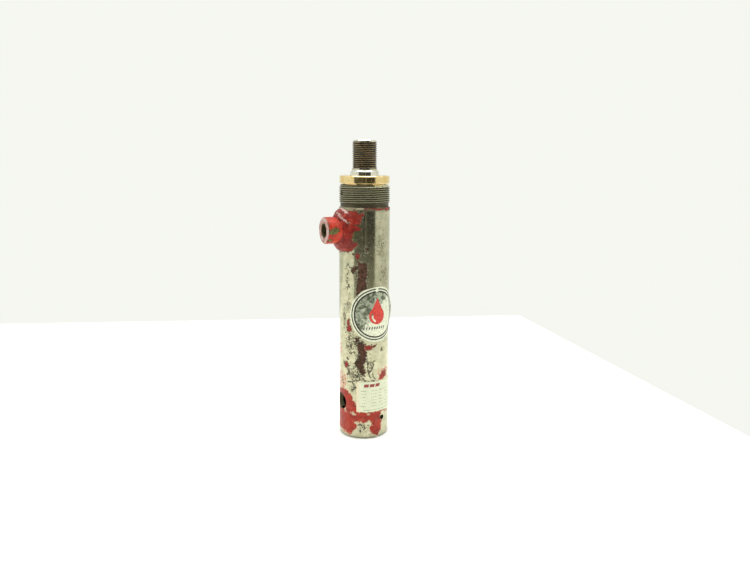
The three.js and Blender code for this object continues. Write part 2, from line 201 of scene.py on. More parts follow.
def revolved(name, corners, columns, step=lambda p: 4.0, shape=None, closed=True, place=None):
    """A piece turned about its own axis. Profiles go up the outside and down the inside.

    shape(turn, radius, height) may return a changed radius and height. place(x, y, z) puts the
    points in the row frame."""
    profile = profile_points(corners, step, closed)
    turns = TAU * (np.arange(columns) + 0.5) / columns
    turn, radius = np.meshgrid(turns, profile[:, 0])
    height = np.repeat(profile[:, 1:2], columns, 1)
    if shape:
        radius, height = shape(turn, radius, height)
    xyz = round_axis(radius, turn, height).reshape(-1, 3)
    if place:
        xyz = place(xyz)
    obj = new_object(name, xyz, grid_faces(len(profile), columns, closed, True))
    join_points(obj)
    return obj


def reworked(obj, change):
    work = bmesh.new()
    work.from_mesh(obj.data)
    change(work)
    work.to_mesh(obj.data)
    work.free()


def join_points(obj):
    """Joins points that coincide, as on the axis, and drops the faces that this closes up."""
    def change(work):
        bmesh.ops.remove_doubles(work, verts=work.verts, dist=SAME_PLACE_M)
        bmesh.ops.dissolve_degenerate(work, edges=work.edges, dist=SAME_PLACE_M / 10)
    reworked(obj, change)


def face_outward(obj):
    reworked(obj, lambda work: bmesh.ops.recalc_face_normals(work, faces=work.faces))


def outward(angle_deg, height):
    """Places a piece turned about a line that leaves the cylinder's axis level with `height`."""
    angle = math.radians(angle_deg)
    away = np.array([math.cos(angle), math.sin(angle), 0.0])
    side = np.array([math.sin(angle), -math.cos(angle), 0.0])
    up = np.array([0.0, 0.0, 1.0])

    def place(xyz):
        return xyz[:, :1] * up + xyz[:, 1:2] * side + xyz[:, 2:] * away + height * up
    return place


def drilled(obj, *cutters):
    """Takes the cutters out of the piece."""
    for cutter in cutters:
        change = obj.modifiers.new("drill", "BOOLEAN")
        change.object = cutter
        change.operation = "DIFFERENCE"
        change.solver = "EXACT"
    graph = bpy.context.evaluated_depsgraph_get()
    cut = bpy.data.meshes.new_from_object(obj.evaluated_get(graph))
    obj.modifiers.clear()
    obj.data = cut
    for cutter in cutters:
        bpy.data.objects.remove(cutter)
    join_points(obj)
    return obj


def drill(radius, near, far, angle_deg, height, columns=40):
    corners = [(0, near), (radius, near), (radius, far), (0, far)]
    place = outward(angle_deg, height)
    return revolved("drill", corners, columns, closed=False, place=place)


def standing_drill(radius, distance, angle_deg, low, high):
    angle = math.radians(angle_deg)
    shift = np.array([distance * math.cos(angle), distance * math.sin(angle), 0.0])
    corners = [(0, low), (radius, low), (radius, high), (0, high)]
    return revolved("drill", corners, 28, closed=False, place=lambda xyz: xyz + shift)


def thread_radius(turn, height, thread):
    """The radius of a 60 degree right-hand thread at a place on its helix."""
    phase = ((height - thread["low"]) / thread["pitch"] - turn / TAU) % 1.0
    from_crest = np.abs(phase - 0.5) * 2
    share = smooth_step(from_crest, 0.82, 0.3)
    return thread["root"] + (thread["crest"] - thread["root"]) * share


def points_mm(obj):
    flat = np.zeros(len(obj.data.vertices) * 3, np.float32)
    obj.data.vertices.foreach_get("co", flat)
    return flat.reshape(-1, 3).astype(float) / MM


def add_field(obj, name, values):
    """Stores one number per point, which materials read by name."""
    layer = obj.data.attributes.new(name, "FLOAT", "POINT")
    layer.data.foreach_set("value", np.asarray(values, np.float32))


def add_distance(obj, name, values):
    add_field(obj, name, np.clip(values, -FIELD_REACH, FIELD_REACH))


def add_flat(obj, name, values):
    layer = obj.data.attributes.new(name, "FLOAT_VECTOR", "POINT")
    layer.data.foreach_set("vector", np.asarray(values, np.float32).ravel())


def finished(obj, body, slot, material, *nodes, soft=None):
    """Shades a piece, gives it its material, ties it to its body and hides the CAD parts it stands for.

    `soft` marks the points, such as a thread's, that keep no sharp edges."""
    for face in obj.data.polygons:
        face.use_smooth = True
    obj.data.set_sharp_from_angle(angle=math.radians(SMOOTH_DEG))
    if soft is not None:
        ends = np.zeros(len(obj.data.edges) * 2, np.int32)
        obj.data.edges.foreach_get("vertices", ends)
        sharp = np.zeros(len(obj.data.edges), bool)
        flags = obj.data.attributes["sharp_edge"].data
        flags.foreach_get("value", sharp)
        flags.foreach_set("value", sharp & ~soft[ends.reshape(-1, 2)].all(1))
    obj.data.materials.clear()
    obj.data.materials.append(material)
    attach(obj, body)
    if nodes:
        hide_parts(*nodes)
    return obj


# ---------------------------------------------------------------- fields on unrolled skins

def smooth_noise(u, v, seed, period=None):
    """Smooth noise from -1 to 1, about one bump per unit, repeating along u after `period`."""
    table = np.random.default_rng(seed).uniform(-1, 1, (NOISE_CELLS, NOISE_CELLS))
    iu, iv = np.floor(u).astype(int), np.floor(v).astype(int)
    fu, fv = u - iu, v - iv
    fu, fv = fu * fu * (3 - 2 * fu), fv * fv * (3 - 2 * fv)
    wrap = period or NOISE_CELLS

    def at(a, b):
        return table[(a % wrap) % NOISE_CELLS, b % NOISE_CELLS]
    low = at(iu, iv) * (1 - fu) + at(iu + 1, iv) * fu
    high = at(iu, iv + 1) * (1 - fu) + at(iu + 1, iv + 1) * fu
    return low * (1 - fv) + high * fv


def smooth_step(value, low, high):
    t = np.clip((value - low) / (high - low), 0, 1)
    return t * t * (3 - 2 * t)


def edge_distance(x, y, edges):
    """Distance to the nearest of some edges, each given by its two ends."""
    nearest = np.full(x.shape, FAR_OFF)
    for (ax, ay), (bx, by) in edges:
        ex, ey = bx - ax, by - ay
        t = np.clip(((x - ax) * ex + (y - ay) * ey) / (ex * ex + ey * ey + TINY), 0, 1)
        nearest = np.minimum(nearest, np.hypot(x - ax - t * ex, y - ay - t * ey))
    return nearest


def hump(turn, centre, width):
    """A smooth hump from 0 to 1 round an angle."""
    return np.exp(-((((turn - centre + math.pi) % TAU - math.pi) / width) ** 2))


def polygon_field(x, y, corners):
    """Signed distance to a polygon, positive inside."""
    edges = list(zip(corners, corners[1:] + corners[:1]))
    inside = np.zeros(x.shape, bool)
    for (ax, ay), (bx, by) in edges:
        rise = by - ay
        at = ax + (y - ay) * (bx - ax) / (rise if abs(rise) > 1e-9 else 1e-9)
        inside ^= ((ay > y) != (by > y)) & (x < at)
    nearest = edge_distance(x, y, edges)
    return np.where(inside, nearest, -nearest)


def stroke_field(x, y, corners, width):
    """Signed distance to a line through the corners, positive inside."""
    return width / 2 - edge_distance(x, y, zip(corners, corners[1:]))


def oval_field(x, y, centre, radii):
    """About the signed distance to an ellipse, positive inside."""
    share = np.hypot((x - centre[0]) / radii[0], (y - centre[1]) / radii[1])
    return (1 - share) * min(radii)


ARC = TUBE_R * math.radians(1.0)  # millimetres round the tube for each degree


def front_angle(turn, centre=0.0):
    """Degrees round the tube from `centre`, an alpha, to a place at the angle `turn`."""
    return (np.degrees(turn) - FRONT_DEG - centre + 180) % 360 - 180


def skin(obj):
    """Where each point lies on the unrolled tube: arc length from the front, and height."""
    xyz = points_mm(obj)
    return front_angle(np.arctan2(xyz[:, 1], xyz[:, 0])) * ARC, xyz[:, 2]


def on_skin(corners):
    return [(alpha * ARC, height) for alpha, height in corners]


# Red paint that is still there, as (alpha, height) outlines. Those that meet at the back, at 180,
# reach past it, so that no seam shows there.
RED_AREAS = [
    [(-118, 231.2), (-38, 229.4), (-23, 230.0), (-9, 226.8), (-1, 227.6), (-3, 224.4),
     (-7, 221.8), (-8, 219), (-12, 217), (-25, 217.2), (-17, 215), (-9, 212.2), (-17, 211),
     (-25, 208.5), (-27, 201), (-17, 198.2), (-15, 197), (-23, 193.8), (-30, 191), (-38, 189),
     (-55, 190), (-71, 188), (-95, 190), (-112, 200)],
    [(-21, 186.8), (-15, 189), (-9, 188), (-10, 185), (-15, 183.4)],
    [(-2, 231), (24, 230.6), (60, 229.6), (100, 230), (150, 229.4), (200, 230), (200, 232.5),
     (-2, 232.5)],
    [(-200, 229.8), (-118, 230.4), (-118, 232.5), (-200, 232.5)],
    [(-42, 122), (-36, 123.5), (-34, 117), (-30, 112), (-36, 110), (-42, 111.5)],
    [(2, 98.5), (14, 97.2), (30, 98.6), (28, 97), (14, 93.4), (3, 91.8), (-1, 94)],
    [(-54, 78), (-44, 79.4), (-38, 77), (-42, 73.4), (-50, 74)],
    [(60, 69.5), (50, 69), (39, 66.4), (36, 61.8), (31, 60.6), (52, 61.2), (62, 63.5)],
    [(-200, 41), (-180, 41), (-150, 33), (-128, 38), (-105, 52), (-84, 47), (-67, 49.4),
     (-51, 50.6), (-43, 50), (-36, 47.4), (-30, 45.6), (-26, 42.5), (-26, 40), (-20, 37.5),
     (-17, 35.8), (-15, 28.6), (12, 28.2), (38, 28.6), (44, 30), (58, 28.5), (72, 31), (92, 27), (112, 33),
     (138, 24), (162, 36), (180, 41), (200, 41), (200, -4), (-200, -4)],
]

# Bare patches inside the red areas.
BARE_AREAS = [
    [(-20, 18.4), (-15, 17.7), (-6, 18.4), (-2, 16.5), (1, 16.2), (6, 16.8), (7, 19), (16, 19.4),
     (20, 15.2), (14, 13.1), (12, 10.7), (19, 6.4), (24, 4.4), (30, 3.2), (60, -3), (-40, -3),
     (-37, 3.2), (-30, 4.6), (-26, 7.5), (-22, 9.6), (-16, 12.3), (-15, 14.8), (-20, 16.2)],
    [(42, 24), (46, 27.6), (60, 26.6), (76, 28.6), (95, 24), (104, 12), (100, -3), (30, -3),
     (38, 4.6), (45, 7.2), (45, 15.4), (49, 16.4), (43, 19)],
    [(-31, 26.4), (-25, 27.8), (-19, 25.6), (-25, 24.8)],
    [(9, 26.6), (13, 27.8), (16, 26.2), (12, 25.2)],
    [(-52, 28.6), (-47, 30), (-43, 27), (-48, 25.6)],
    [(-74, 6.4), (-60, 6.8), (-44, 5.2), (-36, 3.4), (-36, -3), (-120, -3), (-110, 4)],
    [(-140, 18), (-128, 22), (-118, 17), (-126, 12), (-136, 13)],
    [(118, 20), (132, 24), (146, 18), (150, 8), (142, -3), (120, -3), (114, 9)],
    [(-176, 10), (-160, 14), (-152, 6), (-156, -3), (-180, -3)],
]

# Rust where the plating has gone.
RUST_AREAS = [
    [(-18, 180), (-12, 182.6), (-6, 180.4), (5, 179.6), (8, 176), (7, 170), (6, 163),
     (7, 156), (6, 150), (-3, 147.6), (-17, 147.4), (-20, 152), (-17, 158), (-16, 163),
     (-14, 168), (-15, 172), (-14, 176)],
    [(-15, 100.5), (-3, 102), (3, 98.5), (6, 93.7), (8, 87.8), (6, 84.8), (5, 81.4), (1, 76.9),
     (4, 71), (3, 66.4), (-4, 66), (-10, 70.6), (-18, 75), (-23, 79), (-17, 83), (-13, 86),
     (-14, 91), (-15, 94), (-19, 97)],
    [(-31, 172), (-29, 175.4), (-20, 177), (-13, 177), (-15, 172.5), (-21, 171), (-23, 167.6),
     (-27, 168.8)],
    [(2, 194.6), (12, 194.2), (12, 190.2), (3, 190)],
    [(-22, 105.5), (-14, 107), (-8, 105), (-12, 101), (-19, 99.6)],
]

# Dark cracks and scuffs, as lines of (alpha, height) with a width.
DARK_LINES = [
    (1.5, [(-26, 188.2), (-12, 188.6), (6, 188)]),
    (1.1, [(-40, 58.8), (-29, 59.3), (-23, 56.6), (-17, 54), (-23, 53), (-29, 50.6)]),
    (0.9, [(-29, 59.3), (-20, 61.4), (-5, 62.2), (10, 61), (26, 61)]),
    (0.9, [(-43, 66), (-36, 68.4), (-40, 73), (-36, 76)]),
    (0.8, [(-20, 67), (-11, 65), (-8, 62)]),
    (0.8, [(-17, 64), (-12, 69), (-4, 65), (1, 62.4)]),
    (0.9, [(8, 84.6), (7, 79), (12, 81.4), (8, 75), (14, 70), (18, 72.4), (17, 77)]),
    (0.7, [(17, 72), (23, 77), (21, 80.6), (26, 81.6)]),
    (0.7, [(9, 72), (12, 67), (16, 64.4)]),
    (0.7, [(20, 68), (24, 64), (28, 62.4)]),
    (0.8, [(-43, 176), (-38, 178), (-33, 174)]),
    (0.7, [(-41, 152), (-37, 158), (-33, 154)]),
    (0.9, [(-37, 90.4), (-31, 88.4), (-24, 90.8), (-16, 87.6)]),
    (1.0, [(-43, 84), (-39, 81.8), (-36, 83)]),
    (1.6, [(44, 92.6), (46.4, 91)]),
    (0.9, [(-26, 105), (-23, 100), (-18, 97.4)]),
    (0.9, [(-14, 14.6), (-8, 15.4), (-4, 14.6)]),
    (0.9, [(1, 14), (3, 11.4), (0, 10)]),
    (1.2, [(9, 14.6), (12, 14)]),
    (1.0, [(-8, 9.4), (-7, 6.4)]),
]

# How thickly dark specks lie, as (alpha, height, reach round, reach up, density).
SPECKLED = [
    (-41, 163, 7, 24, 1.0), (-18, 166, 7, 18, 1.1), (-7, 149, 15, 5, 1.15),
    (-38, 140, 9, 16, 1.0), (-34, 100, 16, 18, 1.12), (-12, 100, 16, 7, 1.15),
    (-12, 84, 14, 12, 1.0), (-26, 68, 22, 12, 1.15), (14, 76, 11, 10, 1.08),
    (40, 196, 20, 18, 0.85), (52, 172, 18, 20, 0.88), (30, 158, 14, 8, 0.7),
    (-60, 60, 14, 12, 0.75), (0, 12, 18, 10, 0.9), (34, 214, 14, 10, 0.6),
    (-50, 126, 9, 22, 0.95), (-26, 52, 10, 6, 0.9), (44, 92, 5, 3, 0.8),
    (120, 190, 26, 24, 0.8), (160, 120, 22, 40, 0.85), (-150, 150, 24, 34, 0.9),
    (-120, 90, 22, 26, 0.8), (100, 80, 20, 20, 0.7), (-170, 210, 24, 18, 0.8),
    (95, 130, 14, 30, 0.6),
]


# Where the paint is nearly gone and only pink flecks are left.
FLECKED_AREAS = [
    [(-88, 66), (-70, 70), (-56, 67), (-46, 68), (-42, 60), (-46, 52), (-52, 48), (-92, 48)],
    [(-74, 98), (-64, 97), (-58, 90), (-62, 84), (-76, 85)],
    [(44, 29), (62, 30), (96, 29), (98, 20), (80, 24), (60, 23), (52, 26)],
    [(-60, 46), (-50, 49), (-40, 46), (-44, 38), (-56, 40)],
    [(30, 71), (60, 74), (76, 70), (70, 62), (34, 60)],
    [(-60, 10), (-40, 8), (-30, 5), (-34, 2), (-64, 3)],
    [(-118, 228), (-60, 232.5), (-10, 232.5), (-6, 230.6), (-38, 229), (-60, 229)],
    [(120, 60), (150, 64), (176, 58), (170, 44), (130, 36)],
    [(-176, 60), (-150, 56), (-140, 44), (-170, 42)],
]


FAR_ALPHA = (95, 275)
FAR_HEIGHT = (45, 222)


def far_side_patches(seed, count, size):
    """Scattered patches for the side of the tube that the photo doesn't show."""
    rng = np.random.default_rng(seed)
    patches = []
    for _ in range(count):
        centre = np.array([rng.uniform(*FAR_ALPHA) * ARC, rng.uniform(*FAR_HEIGHT)])
        corners = rng.integers(6, 9)
        reach = size * rng.uniform(0.5, 1.3)
        turn = np.sort(rng.uniform(0, TAU, corners))
        spread = reach * rng.uniform(0.5, 1.2, corners)
        patches.append([
            (centre[0] + r * math.cos(t), centre[1] + 1.6 * r * math.sin(t))
            for r, t in zip(spread, turn)
        ])
    return patches


def nearest_of(fields):
    return np.maximum.reduce(list(fields))


def areas_field(s, z, areas):
    return nearest_of(polygon_field(s, z, on_skin(corners)) for corners in areas)


def add_wear(obj):
    """The painted, rusted, cracked and speckled areas of a piece on the tube's skin."""
    s, z = skin(obj)
    around = np.where(s < 0, s + 360 * ARC, s)
    paint = areas_field(s, z, RED_AREAS)
    far_paint = nearest_of(polygon_field(around, z, a) for a in far_side_patches(7, 15, 6.0))
    paint = np.maximum(paint, far_paint)
    bare = areas_field(s, z, BARE_AREAS)
    flecked = areas_field(s, z, FLECKED_AREAS)
    rust = areas_field(s, z, RUST_AREAS)
    far_rust = nearest_of(polygon_field(around, z, a) for a in far_side_patches(21, 16, 5.0))
    dark = nearest_of(stroke_field(s, z, on_skin(line), width) for width, line in DARK_LINES)
    specks = np.full(s.shape, 0.12)
    for alpha, height, round_reach, up_reach, density in SPECKLED:
        off = (s - alpha * ARC + 180 * ARC) % (360 * ARC) - 180 * ARC
        near = np.exp(-((off / (round_reach * ARC)) ** 2) - ((z - height) / up_reach) ** 2)
        specks = np.maximum(specks, density * near)
    xyz = points_mm(obj)
    outside = np.hypot(xyz[:, 0], xyz[:, 1]) > RELIEF_R - 1.9
    add_distance(obj, "paint", np.where(outside, np.minimum(paint, -bare), -FIELD_REACH))
    add_distance(obj, "flecked", np.where(outside, flecked, -FIELD_REACH))
    add_distance(obj, "rust", np.maximum(rust, far_rust))
    add_distance(obj, "dark", dark)
    add_field(obj, "specks", specks)
    # 1 below 60 mm and 0 above 75: there the red is painted lighter, as painted light from the white
    #                               floor, and the paint's rim is cream and more faded.
    add_field(obj, "cream", smooth_step(z, 75, 60))
    add_field(obj, "hidden", np.where(outside, 0.0, 1.0))


# ---------------------------------------------------------------- materials

def srgb(*values):
    """A colour from 0-255 display values."""
    shares = [v / 255 for v in values]
    linear = [s / 12.92 if s <= 0.04045 else ((s + 0.055) / 1.055) ** 2.4 for s in shares]
    return (*linear, 1.0)


class Value:
    """A number, colour or vector that a material works out at each point."""

    def __init__(self, surface, socket):
        self.surface = surface
        self.socket = socket

    def __add__(self, other):
        return self.surface.math("ADD", self, other)

    def __mul__(self, other):
        return self.surface.math("MULTIPLY", self, other)

    def __sub__(self, other):
        return self.surface.math("SUBTRACT", self, other)

    def __rsub__(self, other):
        return self.surface.math("SUBTRACT", other, self)

    def __abs__(self):
        return self.surface.math("ABSOLUTE", self)

    __radd__ = __add__
    __rmul__ = __mul__


class Surface:
    """A principled material and a short way to write its nodes. Methods return a Value."""

    def __init__(self, name):
        self.material = bpy.data.materials.new(name)
        self.material.use_nodes = True
        self.tree = self.material.node_tree
        self.tree.nodes.clear()
        self.shader = self.tree.nodes.new("ShaderNodeBsdfPrincipled")
        output = self.tree.nodes.new("ShaderNodeOutputMaterial")
        self.tree.links.new(self.shader.outputs["BSDF"], output.inputs["Surface"])
        self.place = self.node("TexCoord", out="Object")

    def put(self, socket, value):
        if isinstance(value, Value):
            self.tree.links.new(value.socket, socket)
        else:
            socket.default_value = value

    def node(self, kind, inputs=(), out=0, **settings):
        """One output of a new node. Its settings come first, as they can change its inputs."""
        node = self.tree.nodes.new("ShaderNode" + kind)
        for key, value in settings.items():
            setattr(node, key, value)
        for key, value in dict(inputs).items():
            self.put(node.inputs[key], value)
        return Value(self, node.outputs[out])

    def math(self, operation, a, b=0.0):
        return self.node("Math", {0: a, 1: b}, operation=operation)

    def larger(self, first, *others):
        for other in others:
            first = self.math("MAXIMUM", first, other)
        return first

    def length(self, a, b):
        return self.math("SQRT", a * a + b * b)

    def field(self, name):
        return self.node("Attribute", out="Fac", attribute_name=name)

    def flat(self):
        """The place on a printed sheet laid flat, and 1 on its printed face."""
        return self.node("Attribute", out="Vector", attribute_name="flat")

    def stretched(self, x, y, z, place=None):
        inputs = {0: place or self.place, 1: (x, y, z)}
        return self.node("VectorMath", inputs, operation="MULTIPLY")

    def noise(self, size, detail=2.0, place=None, rough=0.5, warp=0.0):
        """Noise whose bumps are about `size` millimetres across."""
        inputs = {
            "Vector": place or self.place, "Scale": 1 / (size * MM), "Detail": detail,
            "Roughness": rough, "Distortion": warp,
        }
        return self.node("TexNoise", inputs, out="Fac")

    def swing(self, value, reach):
        """Noise as a distance from -reach to reach."""
        return (value - 0.5) * (reach * 2)

    def cracks(self, size, shift):
        """Distance from the lines of a wandering net, as a share of its mesh size."""
        inputs = {"Vector": self.place, "Scale": 0.7 / (size * MM), "Detail": 3.0}
        wander = self.node("TexNoise", inputs, out="Color")
        inputs = {0: wander, 1: [shift * MM] * 3, 2: self.place}
        place = self.node("VectorMath", inputs, operation="MULTIPLY_ADD")
        inputs = {"Vector": place, "Scale": 1 / (size * MM)}
        return self.node("TexVoronoi", inputs, out="Distance", feature="DISTANCE_TO_EDGE")

    def step(self, value, low, high):
        """0 below low and 1 above high, smooth between."""
        inputs = {"Value": value, "From Min": low, "From Max": high}
        return self.node("MapRange", inputs, interpolation_type="SMOOTHSTEP", clamp=True)

    def band(self, value, low, high, soft=0.08):
        """1 where the value lies between low and high, with soft ends."""
        rise = self.step(value, low - soft, low + soft)
        return rise * self.step(value, high + soft, high - soft)

    def mix(self, share, a, b):
        """A colour between a and b. Three plain numbers are 0-255 display values."""
        a, b = (srgb(*c) if isinstance(c, tuple) and len(c) == 3 else c for c in (a, b))
        return self.node("Mix", {0: share, 6: a, 7: b}, out=2, data_type="RGBA")

    def blend(self, share, a, b):
        """A number between a and b."""
        return self.node("Mix", {0: share, 2: a, 3: b}, data_type="FLOAT")

    def parts(self, vector):
        return [self.node("SeparateXYZ", {0: vector}, out=i) for i in range(3)]

    def joined(self, x, y, z):
        return self.node("CombineXYZ", {0: x, 1: y, 2: z})

    def bump(self, height, depth):
        """A bump whose full height is `depth` millimetres."""
        inputs = {"Height": height, "Distance": depth * MM, "Strength": 1.0}
        return self.node("Bump", inputs, out="Normal")

    def done(self, **sockets):
        names = {
            "color": "Base Color", "metal": "Metallic", "rough": "Roughness",
            "normal": "Normal", "specular": "Specular IOR Level",
        }
        for key, value in sockets.items():
            self.put(self.shader.inputs[names[key]], value)
        return self.material


PLATE_LIGHT = (195, 191, 161)
PLATE_DULL = (177, 174, 144)
PLATE_GREEN = (166, 174, 152)
STAIN = (120, 112, 84)
RUST_BROWN = (88, 58, 36)
RUST_DARK = (50, 33, 19)
RUST_PURPLE = (86, 54, 46)
SOOT = (46, 40, 26)
RED = (160, 50, 33)
RED_DEEP = (134, 36, 24)
RED_FADED = (166, 84, 64)
PINK = (182, 104, 86)
CREAM = (214, 198, 166)
GRIME = (54, 47, 30)


def paint_cover(m, paint, medium, fine):
    """Where paint lies, where a few flecks do, the ragged rim round it, and faded ground."""
    fray = m.swing(medium, 3.0) + m.swing(fine, 3.0)
    edge = paint + fray
    flecks = m.noise(1.5, 4.0, rough=0.6, warp=0.5) - paint * 0.006
    pinholes = m.step(flecks, 0.685, 0.7)
    painted = m.step(edge, -0.08, 0.08) * (1.0 - pinholes)
    partly = m.step(m.field("flecked") + m.swing(medium, 3.0), -1.0, 2.0)
    limit = 0.66 - partly * 0.18
    few = m.step(m.noise(1.9, 4.0, rough=0.65) - limit, 0.0, 0.05) * partly
    rim = m.step(edge, -0.95, -0.35) * (1.0 - painted)
    return painted, few, rim, partly


def port_wall(m):
    """1 on the wall of the hole over the base port, 0 on the tube's skin."""
    x, y, z = m.parts(m.place)
    up = z - BASE_PORT_Z * MM
    away = m.length(y, up)
    wall = m.step(away, (SPOT_R + 0.06) * MM, (SPOT_R + 0.01) * MM)
    return wall * m.step(x, 0.0, -MM)


def worn_steel(name):
    """Dull plated steel with worn red paint, rust, cracks and specks where the fields say."""
    m = Surface(name)
    coarse, medium, fine = m.noise(7.0, 3.0), m.noise(2.2, 3.0), m.noise(0.7, 2.0)
    painted, few, rim, partly = paint_cover(m, m.field("paint"), medium, fine)

    rust_edge = m.field("rust") + (m.swing(medium, 3.0) + m.swing(fine, 3.2))
    rusted = m.step(rust_edge, -0.15, 0.25)
    rust_rim = m.step(rust_edge, 2.0, 0.6)
    ragged = m.swing(medium, 1.2) + m.swing(fine, 1.0)
    cracked = m.step(m.field("dark") + ragged, -0.25, 0.05)
    density = m.field("specks")
    spots = m.noise(1.9, 4.0, rough=0.62, warp=0.4)
    speckled = m.step(spots - (0.715 - density * 0.165), 0.0, 0.03)
    reach = m.larger((density - 0.4) * 0.15, 0.0005)
    net = m.step(m.cracks(3.4, 4.0), reach, 0.0)
    net *= m.step(coarse + density * 0.2, 0.53, 0.62)
    pits = m.larger(speckled, cracked, net * 0.9)

    plate = m.mix(m.step(coarse, 0.36, 0.64), PLATE_LIGHT, PLATE_DULL)
    plate = m.mix(m.step(m.noise(9.0, 3.0), 0.52, 0.7) * 0.4, plate, PLATE_GREEN)
    mottle = m.step(m.noise(0.9, 3.0, rough=0.65), 0.5, 0.72)
    plate = m.mix(mottle * 0.22, plate, STAIN)
    stain = m.step(m.noise(3.0, 4.0, rough=0.6) + density * 0.16, 0.58, 0.76)
    plate = m.mix(stain * 0.4, plate, STAIN)
    brown = m.mix(m.step(medium, 0.38, 0.62), RUST_BROWN, RUST_DARK)
    brown = m.mix(m.step(coarse, 0.46, 0.58) * 0.75, brown, RUST_PURPLE)
    brown = m.mix(rust_rim * 0.75, brown, RUST_DARK)
    low = m.field("cream")
    # Painted light: the red is painted lighter low down, where the white floor lights it, and darker
    # higher up, as painted shade from the dark room.
    light = m.mix(low, (132, 40, 27), RED)
    deep = m.mix(low, (108, 28, 19), RED_DEEP)
    red = m.mix(m.step(coarse, 0.42, 0.66), light, deep)
    faded = m.step(m.noise(5.0, 3.0), 0.52, 0.7) * (0.15 + low * 0.35)
    red = m.mix(m.step(m.noise(0.8, 3.0), 0.5, 0.75) * 0.3, red, RED_DEEP)
    red = m.mix(faded, red, RED_FADED)
    edge = m.mix(low, SOOT, CREAM)

    color = m.mix(partly * 0.35, plate, CREAM)
    color = m.mix(few, color, PINK)
    color = m.mix(rusted, color, brown)
    color = m.mix(pits * 0.9, color, SOOT)
    color = m.mix(rim * 0.8, color, edge)
    color = m.mix(painted, color, red)

    rawness = m.larger(rusted, pits, rim * 0.8)
    covered = m.larger(rawness, painted, few, partly * 0.3)
    metal = 1.0 - covered * 0.96
    rough = 0.11 + m.noise(4.0, 3.0) * 0.1
    rough += stain * 0.16 + mottle * 0.06
    rough = m.blend(rawness, rough, 0.72)
    rough = m.blend(painted, rough, 0.28 + medium * 0.2)

    groove = m.field("groove")
    dirt = m.step(groove + m.swing(medium, 0.3), 0.35, 0.85)
    film = m.field("oily") * (0.62 + dirt * 0.3)
    greasy = m.mix(m.step(coarse, 0.4, 0.6), (70, 62, 41), (84, 80, 53))
    color = m.mix(film, color, m.mix(dirt, greasy, GRIME))
    metal *= 1.0 - film * 0.35
    rough += film * 0.3
    hidden = m.larger(m.field("hidden"), port_wall(m))
    color = m.mix(hidden, color, (104, 99, 76))

    scratches = m.noise(0.5, 2.0, place=m.stretched(1.0, 1.0, 0.06))
    relief = painted * 0.9 - pits * fine * 1.2
    relief += rusted * m.noise(1.1, 4.0) * 1.1
    relief += painted * medium * 0.5
    relief += scratches * 0.022
    relief += m.noise(14.0, 1.0) * 0.3
    return m.done(
        color=color, metal=metal, rough=rough, specular=0.26, normal=m.bump(relief, 0.12)
    )


def enamelled(name, light, dark):
    """Red enamel over raw steel, bare where the `bare` field says: worn through, and on the weld's ridge
    and top-left edge bared for painted highlights.
    """
    m = Surface(name)
    coarse, medium, fine = m.noise(6.0, 3.0), m.noise(1.8, 3.0), m.noise(0.6, 2.0)
    worn = m.field("bare") + (m.swing(medium, 2.2) + m.swing(fine, 0.9))
    bare = m.step(worn, -0.1, 0.14)
    rim = m.step(worn, -0.7, -0.1) * (1.0 - bare)
    chips = m.step(m.noise(1.5, 3.0, warp=0.5), 0.67, 0.69)
    bare = m.larger(bare, chips * 0.9)

    red = m.mix(m.step(coarse, 0.4, 0.62), light, dark)
    red = m.mix(m.step(m.noise(4.0, 3.0), 0.54, 0.7) * 0.5, red, (188, 82, 62))
    raw = m.mix(m.step(medium, 0.4, 0.62), (126, 118, 74), (84, 84, 52))
    # Painted highlight: where the pink field says, the raw steel is painted pinkish and less metallic, for
    # glare on the weld's ridge and top-left edge and on the boss's face.
    pinkish = m.mix(m.step(coarse, 0.45, 0.6), (186, 156, 150), (158, 112, 102))
    raw = m.mix(m.field("pink"), raw, pinkish)
    # Painted shade and reflection: this field paints the raw steel dark and less metallic deep inside the
    # port, as painted shade, and on the weld's right side, as a painted reflection of the dark room.
    painted_shade = m.field("painted_shade")
    raw = m.mix(painted_shade, raw, (46, 48, 36))
    color = m.mix(rim * 0.45, red, (120, 40, 34))
    color = m.mix(bare, color, raw)
    metal = bare * (0.6 - m.larger(painted_shade, m.field("pink")) * 0.4)
    rough = m.blend(bare, 0.26 + medium * 0.2, 0.34 + fine * 0.22)
    relief = bare * -0.8 + m.noise(2.6, 3.0) * 0.9
    relief += fine * 0.12
    return m.done(
        color=color, metal=metal, rough=rough, specular=0.26, normal=m.bump(relief, 0.13)
    )


def turned_metal(name, light, dull, stain, rough=0.2, line=0.35, stained=0.5):
    """Metal with the fine rings that a lathe leaves, tarnished in patches."""
    m = Surface(name)
    coarse, medium, fine = m.noise(7.0, 3.0), m.noise(2.0, 3.0), m.noise(0.6, 2.0)
    x, y, z = m.parts(m.place)
    across = m.length(x, y)
    combined = m.joined(across, 0.0, z)
    rings = m.noise(line, 2.0, place=combined)
    color = m.mix(m.step(coarse, 0.38, 0.62), light, dull)
    blotch = m.step(m.noise(3.0, 4.0, rough=0.6), 0.55, 0.74)
    color = m.mix(blotch * stained, color, stain)
    color = m.mix(m.step(rings, 0.45, 0.7) * 0.16, color, stain)
    roughness = rough + (medium * 0.1 + blotch * 0.16)
    relief = rings * 0.5 + (fine * 0.16 - blotch * 0.3)
    metal = 1.0 - blotch * 0.25
    return m.done(color=color, metal=metal, rough=roughness, normal=m.bump(relief, 0.03))


